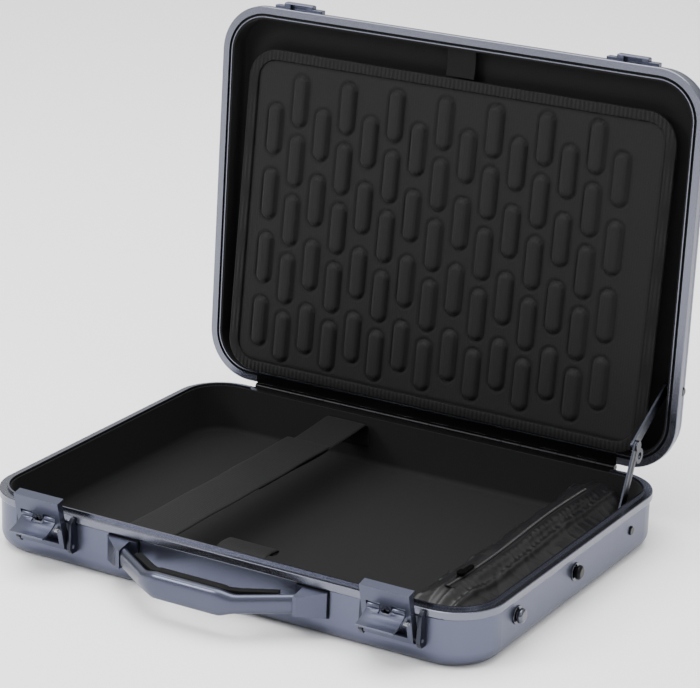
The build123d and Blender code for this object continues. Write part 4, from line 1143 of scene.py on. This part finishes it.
@dataclass
class Webbing:
    """One strap of webbing that follows a line of the side view."""

    name: str
    node: str
    centre_x: float
    width: float
    thick: float
    points: Sequence[tuple[float, float]]
    rests_on: Sequence[str]
    held: str = "laid"
    ripple: float = 0.25
    cell: float = 3.0

    def line(self) -> list[tuple[float, float, float]]:
        """Smooth the line through the corners.

        Returns:
            Evenly spaced points (run, y, z) in millimetres.
        """
        dense: list[Vector] = []
        pts = [Vector((0, *p)) for p in self.points]
        for i in range(len(pts) - 1):
            before = pts[i - 1] if i else pts[i] * 2 - pts[i + 1]
            after = pts[i + 2] if i + 2 < len(pts) else pts[i + 1] * 2 - pts[i]
            reach = (pts[i + 1] - pts[i]).length
            slope_a = (pts[i + 1] - before).normalized() * min(reach, 6.0)
            slope_b = (after - pts[i]).normalized() * min(reach, 6.0)
            for k in range(24):
                t = k / 24
                h1, h2 = 2 * t**3 - 3 * t**2 + 1, t**3 - 2 * t**2 + t
                h3, h4 = -2 * t**3 + 3 * t**2, t**3 - t**2
                dense.append(pts[i] * h1 + slope_a * h2 + pts[i + 1] * h3 + slope_b * h4)
        dense.append(pts[-1])
        runs = [0.0]
        for a, b in zip(dense, dense[1:]):
            runs.append(runs[-1] + (b - a).length)
        count = max(8, round(runs[-1] / self.cell))
        out = []
        j = 0
        for i in range(count + 1):
            goal = runs[-1] * i / count
            while j < len(runs) - 2 and runs[j + 1] < goal:
                j += 1
            share = (goal - runs[j]) / max(runs[j + 1] - runs[j], 1e-9)
            point = dense[j].lerp(dense[j + 1], share)
            out.append((goal, point.y, point.z))
        return out

    def build(self) -> Piece:
        """Lay a grid along the line, thicken it and map its weave.

        Returns:
            The strap.
        """
        line = self.line()
        count = len(line) - 1
        length = line[-1][0]
        piece = Bench.grid(self.name, self.width, length, 12, count)
        for vert in piece.data.vertices:
            share = vert.co.y / (length * MM) + 0.5
            index = min(count, max(0, round(share * count)))
            run, y, z = line[index]
            wave = self.ripple * math.sin(run / 11.0 + vert.co.x * 60)
            vert.co.x += self.centre_x * MM
            vert.co.y = y * MM
            vert.co.z = (z + wave * min(1.0, run / 25.0)) * MM
        map_strip(piece, self.width, length)
        Bench.apply(piece, "SOLIDIFY", thickness=self.thick * MM, offset=0)
        Bench.apply(piece, "SUBSURF", levels=1)
        Bench.smooth(piece, 50)
        Bench.finish(piece, "base", WEBBING, "black_webbing", [self.node])
        list(self.rests_on)
        return piece


@dataclass
class Straps:
    """Hook-and-loop strap over the bay in two parts, and the pull tab at the front."""

    wall: float = 149.9
    thick: float = 1.6
    clear: float = 0.3
    strap_x: float = -68.0
    loop_width: float = 37.0
    hook_width: float = 41.0
    level: float = 37.2
    foot: float = 19.0
    free_end: float = 84.0
    rear_end: float = -20.0
    tab_x: float = 12.0
    tab_width: float = 42.0
    tab_level: float = 40.0

    def build(self) -> None:
        """Make the two strap halves and the pull tab."""
        near = self.wall - self.clear - self.thick / 2
        low = self.level + self.thick / 2
        high = low + self.thick + self.clear
        Webbing(
            "strap_loop_side", "strap_rear", self.strap_x, self.loop_width, self.thick,
            [(near, self.foot), (near, low - 3), (near - 6, low + 2.2), (near - 70, low - 1.5),
             (self.rear_end, low)],
            ["base_tray"],
        ).build()
        Webbing(
            "strap_hook_side", "strap_front", self.strap_x, self.hook_width, self.thick,
            [(-near, self.foot), (-near, high - 4), (-near + 6, high + 1.0), (self.rear_end, high),
             (self.free_end, high + 0.4)],
            ["strap_loop_side", "base_tray"],
        ).build()
        top = self.tab_level
        Webbing(
            "pull_tab_web", "pull_tab", self.tab_x, self.tab_width, self.thick,
            [(-near, self.foot), (-near, top - 3), (-near + 5, top + 3.6), (-near + 14, top + 4.6),
             (-near + 24, top + 3.2), (-near + 23.2, top + 1.2), (-near + 15, top + 2.0)],
            ["base_tray"], "folded", cell=1.5,
        ).build()


# ---- accessory pouch


@dataclass
class AccessoryPouch:
    """Soft zipped pouch of crinkled nylon along the right of the bay."""

    left: float = 139.0
    right: float = 195.5
    front: float = -141.0
    rear: float = 140.0
    bottom: float = 4.5
    top: float = 44.5
    zip_x: float = 166.0
    zip_front: float = -112.5
    zip_rear: float = 111.5
    shrink: float = 3.5
    voxel: float = 2.5
    pressure: float = 4.0
    reach: float = 6.0
    dome: float = 3.6
    narrow: float = 0.36
    seam_off: tuple[float, float] = (-18.5, 14.2)
    piping: float = 2.6
    dent: float = 1.9
    ridge: float = 0.8
    crinkle: float = 0.25
    gather: float = 0.4
    zip_sink: float = 1.7
    rim_from: float = 26.0
    rim_over: float = 14.0
    fall: float = 13.0
    fall_over: float = 34.0
    frames: int = 20

    def build(self) -> Piece:
        """Blow up a remeshed block with cloth and keep it in its place.

        Returns:
            The bag.
        """
        gap = self.shrink
        low = (self.left + gap, self.front + gap, self.bottom + 1)
        high = (self.right - gap, self.rear - gap, self.top - gap - 2)
        piece = Bench.cube("pouch_bag", low, high)
        Bench.round_columns(piece, 12, 6)
        Bench.round_edges(piece, 8, 4, lambda middle, way: abs(way.z) < 0.5)
        Bench.apply(piece, "REMESH", mode="VOXEL", voxel_size=self.voxel * MM)
        self.inflate(piece)
        Bench.apply(piece, "SUBSURF", levels=1)
        self.crumple(piece)
        map_box(piece)
        Bench.smooth(piece, 180)
        Bench.finish(piece, "base", TAFFETA, "black_nylon", ["accessory_pouch"])
        return piece

    def inflate(self, piece: Piece) -> None:
        """Run a short cloth simulation with pressure and keep every point near its start.

        Args:
            piece: The bag.
        """
        start = [v.co.copy() for v in piece.data.vertices]
        cloth = piece.modifiers.new("cloth", "CLOTH")
        cloth.settings.use_pressure = True
        cloth.settings.uniform_pressure_force = self.pressure
        cloth.settings.effector_weights.gravity = 0
        cloth.settings.quality = 5
        cloth.point_cache.frame_start = 1
        cloth.point_cache.frame_end = self.frames
        for step in range(1, self.frames + 1):
            bpy.context.scene.frame_set(step)
        Bench.take(piece)
        bpy.ops.object.modifier_apply(modifier=cloth.name)
        bpy.context.scene.frame_set(1)
        for vert, first in zip(piece.data.vertices, start):
            move = vert.co - first
            if move.length > self.reach * MM:
                vert.co = first + move.normalized() * self.reach * MM

    def crumple(self, piece: Piece) -> None:
        """Press dents, crinkles, gathers and piping into the bag, and keep it inside its bay.

        Args:
            piece: The bag.
        """
        middle = (self.left + self.right) / 2
        half = (self.right - self.left) / 2
        normals = [v.normal.copy() for v in piece.data.vertices]
        for vert, normal in zip(piece.data.vertices, normals):
            x, y, z = vert.co / MM
            dent = noise.noise(Vector((x / 15, y / 24, z / 13)))
            slant = Vector((x / 15 + y / 40, y / 10 - x / 16, z / 14))
            ridge = (1 - abs(noise.noise(slant))) ** 5
            fine = (1 - abs(noise.noise(slant * 2.3 + Vector((7, 3, 1))))) ** 3
            push = (
                self.dent * dent + self.ridge * (ridge - 0.4) + self.crinkle * (fine - 0.4)
            )
            x, y, z = Vector((x, y, z)) + normal * push
            up = min(1.0, max(0.0, (z - self.rim_from) / self.rim_over))
            off = x - self.zip_line(y)
            if off > 0:
                x -= off * self.narrow * up
                off *= 1 - self.narrow * up
            gather = math.sin(y / 1.15 + 3.0 * noise.noise(Vector((x / 9, y / 9, 0))))
            z += self.gather * gather * math.exp(-(((abs(off) - 8.0) / 4.5) ** 2)) * up
            level = self.top - 0.2 + 1.1 * dent
            z += (level - z) * math.exp(-((off / 8.0) ** 4)) * up
            z -= self.zip_sink * math.exp(-((off / 2.9) ** 4)) * up
            z -= self.dome * (abs(x - middle) / half) ** 2.6 * up
            for seam in self.seam_off:
                z += self.piping * math.exp(-(((off - seam) / 1.8) ** 2)) * up
            fall = max(0.0, (self.front + self.fall_over - y) / self.fall_over)
            z -= self.fall * fall**2 * up
            x = min(self.right, max(self.left, x))
            y = min(self.rear, max(self.front, y))
            z = min(self.top + 1.5, max(self.bottom, z))
            vert.co = Vector((x, y, z)) * MM

    def zip_line(self, y: float) -> float:
        """Return where the wandering zip runs at a depth y."""
        return self.zip_x + 1.7 * math.sin((y - self.zip_front) / 36.0)


@dataclass
class PouchZip:
    """Coil zip along the pouch's top: tape and interlocked teeth."""

    width: float = 10.5
    pitch: float = 1.6
    tooth: tuple[float, float, float] = (2.6, 0.9, 0.9)
    rows: int = 90
    sink: float = 1.1
    thick: float = 0.6

    def build(self, pouch: AccessoryPouch) -> None:
        """Lay the tape and the teeth on the pouch.

        Args:
            pouch: The pouch that carries the zip.
        """
        length = pouch.zip_rear - pouch.zip_front
        tape = Bench.grid("zip_tape", self.width, length, 6, self.rows)
        top = pouch.top - self.sink
        for vert in tape.data.vertices:
            y = vert.co.y / MM + (pouch.zip_front + pouch.zip_rear) / 2
            vert.co.x += pouch.zip_line(y) * MM
            vert.co.y = y * MM
            vert.co.z = top * MM
        map_strip(tape, self.width, length)
        Bench.apply(tape, "SOLIDIFY", thickness=self.thick * MM, offset=-1)
        Bench.smooth(tape, 40)
        Bench.finish(tape, "base", WEBBING, "black_webbing", ["pouch_zip"])
        wide, deep, high = self.tooth
        tooth = Bench.cube(
            "zip_teeth", (pouch.zip_x - wide / 2, pouch.zip_front, top),
            (pouch.zip_x + wide / 2, pouch.zip_front + deep, top + high),
        )
        Bench.apply(tooth, "BEVEL", width=0.25 * MM, segments=1)
        Bench.apply(
            tooth, "ARRAY", count=int(length / self.pitch), use_relative_offset=False,
            use_constant_offset=True, constant_offset_displace=(0, self.pitch * MM, 0),
        )
        for vert in tooth.data.vertices:
            vert.co.x += (pouch.zip_line(vert.co.y / MM) - pouch.zip_x) * MM
        Bench.smooth(tooth, 40)
        Bench.finish(tooth, "base", NYLON_COIL, "black_webbing")


# ---- handle


@dataclass
class Grip:
    """Cast grip with softly rounded edges, and the thick rubber pad on its inner side."""

    half: float = 33.0
    bend: float = 9.0
    slope: float = 0.705
    front_y: float = -197.7
    middle_z: float = 27.4
    arm_end: float = 74.0
    arm_height: float = 14.5
    height: float = 20.0
    swell: float = 7.0
    thick: float = 8.2
    fullness: float = 2.5
    ease: float = 1.2
    taller: float = 1.38
    thicker: float = 3.2

    def line(self, x: float) -> tuple[float, float]:
        """Follow the grip's line.

        Args:
            x: Place along the grip.

        Returns:
            How far out the line is, and its slope there.
        """
        past = abs(x) - self.half
        if past < -self.bend:
            return self.front_y, 0.0
        if past < self.bend:
            rise = (past + self.bend) / (2 * self.bend)
            return self.front_y + self.slope * self.bend * rise**2, self.slope * rise
        return self.front_y + self.slope * past, self.slope

    def casting(self) -> None:
        """Bend a grid round the grip's line, fuller at the front, and close its two ends."""
        around, along = 32, 96
        piece = Bench.grid("grip_casting", 1.0, 1.0, around, along)
        for vert in piece.data.vertices:
            turn = (vert.co.x / MM + 0.5) * math.tau
            x = vert.co.y / MM * 2 * self.arm_end
            y, slope = self.line(x)
            swell = min(1.0, max(0.0, (self.half + self.swell - abs(x)) / (2 * self.swell)))
            tall = self.arm_height + (self.height - self.arm_height) * swell**2 * (3 - 2 * swell)
            out, up = math.cos(turn), math.sin(turn)
            power = 2 / (self.fullness if out > 0 else self.fullness + 2.4 * swell)
            out = math.copysign(abs(out) ** power, out) * self.thick / 2
            up = math.copysign(abs(up) ** power, up) * tall / 2
            stretch = math.hypot(1, slope)
            vert.co = Vector((x, y - out * stretch, self.middle_z + up)) * MM
        Bench.close_skin(piece)
        Bench.smooth(piece, 40)
        Bench.finish(piece, "handle", PAINTED_CASTING, "blue_grey_hardware", ["handle_core"])

    def pad(self) -> None:
        """Merge the pad's skin, bring it to its full height, round its edges, give it rubber."""
        piece = Bench.merged_copy("handle_pad", "grip_pad")
        heights = [vert.co.z for vert in piece.data.vertices]
        middle = (min(heights) + max(heights)) / 2
        for vert in piece.data.vertices:
            vert.co.z = middle + (vert.co.z - middle) * self.taller
        with Bench.editing(piece):
            Bench.pick_faces(piece, lambda centre, normal: normal.y > 0.3)
            bpy.ops.transform.shrink_fatten(value=self.thicker * MM)
        Bench.apply(
            piece, "BEVEL", width=self.ease * MM, segments=3, limit_method="ANGLE",
            angle_limit=math.radians(30),
        )
        Bench.smooth(piece, 40)
        Bench.finish(piece, "handle", RUBBER, "black_rubber", ["handle_pad"])

    def build(self) -> None:
        """Make the casting and its pad."""
        self.casting()
        self.pad()


# ---- seals and springs


@dataclass
class RimSeals:
    """Rubber seal in the lid's groove, and a black strip of painted shade that fills the slots
    beside the knuckles.
    """

    seal_inset: float = 6.1
    seal_width: float = 1.8
    seal_low: float = 46.9
    seal_high: float = 47.55

    half: float = 166.5
    near: float = 158.2
    far: float = 159.25
    low: float = 45.34
    high: float = 46.4

    def seal(self) -> None:
        """Lay the seal at the bottom of the groove that the base's tongue enters."""
        half = (CASE.width / 2 - self.seal_inset, CASE.depth / 2 - self.seal_inset)
        corner = CASE.corner - self.seal_inset
        heights = (self.seal_low, self.seal_high)
        piece = Bench.ring("groove_seal", half, heights, corner, self.seal_width)
        Bench.turn_lid(piece)
        Bench.smooth(piece, 40)
        Bench.finish(piece, "lid", RUBBER, "black_rubber")

    def lip(self) -> None:
        """Make the black strip of painted shade on the closed lid and turn it with the lid."""
        # Painted shade: a black block behind the knuckle slots, dark where the slots show shade.
        low, high = (-self.half, self.near, self.low), (self.half, self.far, self.high)
        piece = Bench.cube("hinge_slot_shade", low, high)
        Bench.turn_lid(piece)
        Bench.finish(piece, "lid", RUBBER, "black_rubber")

    def build(self) -> None:
        """Make the seal and the strip of painted shade."""
        self.seal()
        self.lip()


@dataclass
class FlapSprings:
    """Small wire coils at the right end of each latch flap, beside its pin."""

    latch_x: float = 149.0
    start: float = 15.7
    out_y: float = -172.4
    height_z: float = 36.5
    coil: float = 1.35
    wire: float = 0.32
    pitch: float = 0.78
    turns: int = 4

    def build(self) -> None:
        """Wind a coil on each latch."""
        for side, x in (("left", -self.latch_x), ("right", self.latch_x)):
            Bench.clear()
            bpy.ops.mesh.primitive_circle_add(vertices=8, radius=self.wire * MM)
            piece = Bench.named(f"flap_spring_{side}")
            turn = Matrix.Rotation(math.pi / 2, 4, "X")
            stand = Matrix.Translation((0, 0, self.coil * MM)) @ turn
            piece.data.transform(stand)
            Bench.apply(
                piece, "SCREW", axis="X", steps=16, render_steps=16, iterations=self.turns,
                screw_offset=self.pitch * MM,
            )
            place = Vector((x + self.start, self.out_y, self.height_z)) * MM
            piece.data.transform(Matrix.Translation(place))
            Bench.close_skin(piece)
            Bench.smooth(piece, 60)
            Bench.finish(piece, f"latch_lever_{side}", BRIGHT_STEEL, "steel_pin")


# ---- studio


@dataclass
class Studio:
    """Pale floor, soft lights and the camera of the photograph."""

    azimuth: float = 29.86
    elevation: float = 18.88
    roll: float = 1.75
    place: tuple[float, float, float] = (1.03382, -1.77414, 0.86316)
    lens: float = 147.65
    floor_size: float = 9.0
    sky_heights: tuple[float, float] = (-0.1, 0.7)
    sky_light: tuple[float, float] = (0.45, 1.35)
    aim: tuple[float, float, float] = (0.0, 0.05, 0.1)

    def camera(self) -> None:
        """Set the camera where the photograph was taken from."""
        az, el, roll = (math.radians(a) for a in (self.azimuth, self.elevation, self.roll))
        back = Vector((math.sin(az) * math.cos(el), -math.cos(az) * math.cos(el), math.sin(el)))
        level = Vector((math.cos(az), math.sin(az), 0))
        rise = back.cross(level)
        right = level * math.cos(roll) + rise * math.sin(roll)
        up = rise * math.cos(roll) - level * math.sin(roll)
        data = bpy.data.cameras.new("camera")
        data.sensor_width = 36.0
        data.lens = self.lens
        data.clip_end = 20.0
        camera = bpy.data.objects.new("camera", data)
        bpy.context.scene.collection.objects.link(camera)
        pose = Matrix((right, up, back)).transposed().to_4x4()
        pose.translation = Vector(self.place)
        camera.matrix_world = pose
        bpy.context.scene.camera = camera

    def lamp(self, name: str, place: Sequence[float], size: float, watts: float) -> None:
        """Hang one soft square light that faces the case.

        Args:
            name: Name of the light.
            place: Where it hangs, in metres.
            size: Side of the square in metres.
            watts: Its power.
        """
        data = bpy.data.lights.new(name, "AREA")
        data.energy = watts
        data.size = size
        light = bpy.data.objects.new(name, data)
        bpy.context.scene.collection.objects.link(light)
        light.location = place
        aim = Vector(self.aim) - Vector(place)
        light.rotation_mode = "QUATERNION"
        light.rotation_quaternion = aim.to_track_quat("-Z", "Y")

    def build(self) -> None:
        """Set the floor, the sky, the lamps and the camera."""
        Bench.clear()
        bpy.ops.mesh.primitive_plane_add(size=self.floor_size)
        floor = Bench.named("studio_floor")
        floor.data.materials.append(Moulded("studio_paper", "FBFBFB", "F6F6F6", 0.9, 3.0)())
        floor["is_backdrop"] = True
        world = bpy.data.worlds.new("studio_sky")
        bpy.context.scene.world = world
        world.use_nodes = True
        tree = world.node_tree
        sky = tree.nodes["Background"]
        sky.inputs["Color"].default_value = (1.0, 1.0, 1.0, 1.0)
        way = add_node(tree, "ShaderNodeTexCoord").outputs["Generated"]
        height = add_node(tree, "ShaderNodeSeparateXYZ", {}, {"Vector": way}).outputs["Z"]
        (low, high), (dim, bright) = self.sky_heights, self.sky_light
        light = add_node(
            tree, "ShaderNodeMapRange",
            {"From Min": low, "From Max": high, "To Min": dim, "To Max": bright},
            {"Value": height},
        )
        tree.links.new(light.outputs["Result"], sky.inputs["Strength"])
        self.lamp("top_light", (-0.2, -0.1, 2.4), 2.4, 95.0)
        self.lamp("key_light", (-1.5, -1.9, 1.5), 0.8, 42.0)
        self.lamp("fill_light", (1.9, -0.6, 1.0), 1.0, 5.0)
        self.camera()


def main() -> None:
    """Dress and build every sub-assembly in order."""
    logging.basicConfig(level=logging.INFO, format="%(message)s")
    Studio().build()
    MetalDressing().dress()
    Linings().build()
    PaddedSleeve().build()
    Straps().build()
    pouch = AccessoryPouch()
    pouch.build()
    PouchZip().build(pouch)
    Grip().build()
    RimSeals().build()
    FlapSprings().build()
    boxes = {"cad": CAD_BOX, "visual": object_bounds()}
    {k: [list(c) for c in v] for k, v in boxes.items()}


if __name__ == "__main__":
    main()
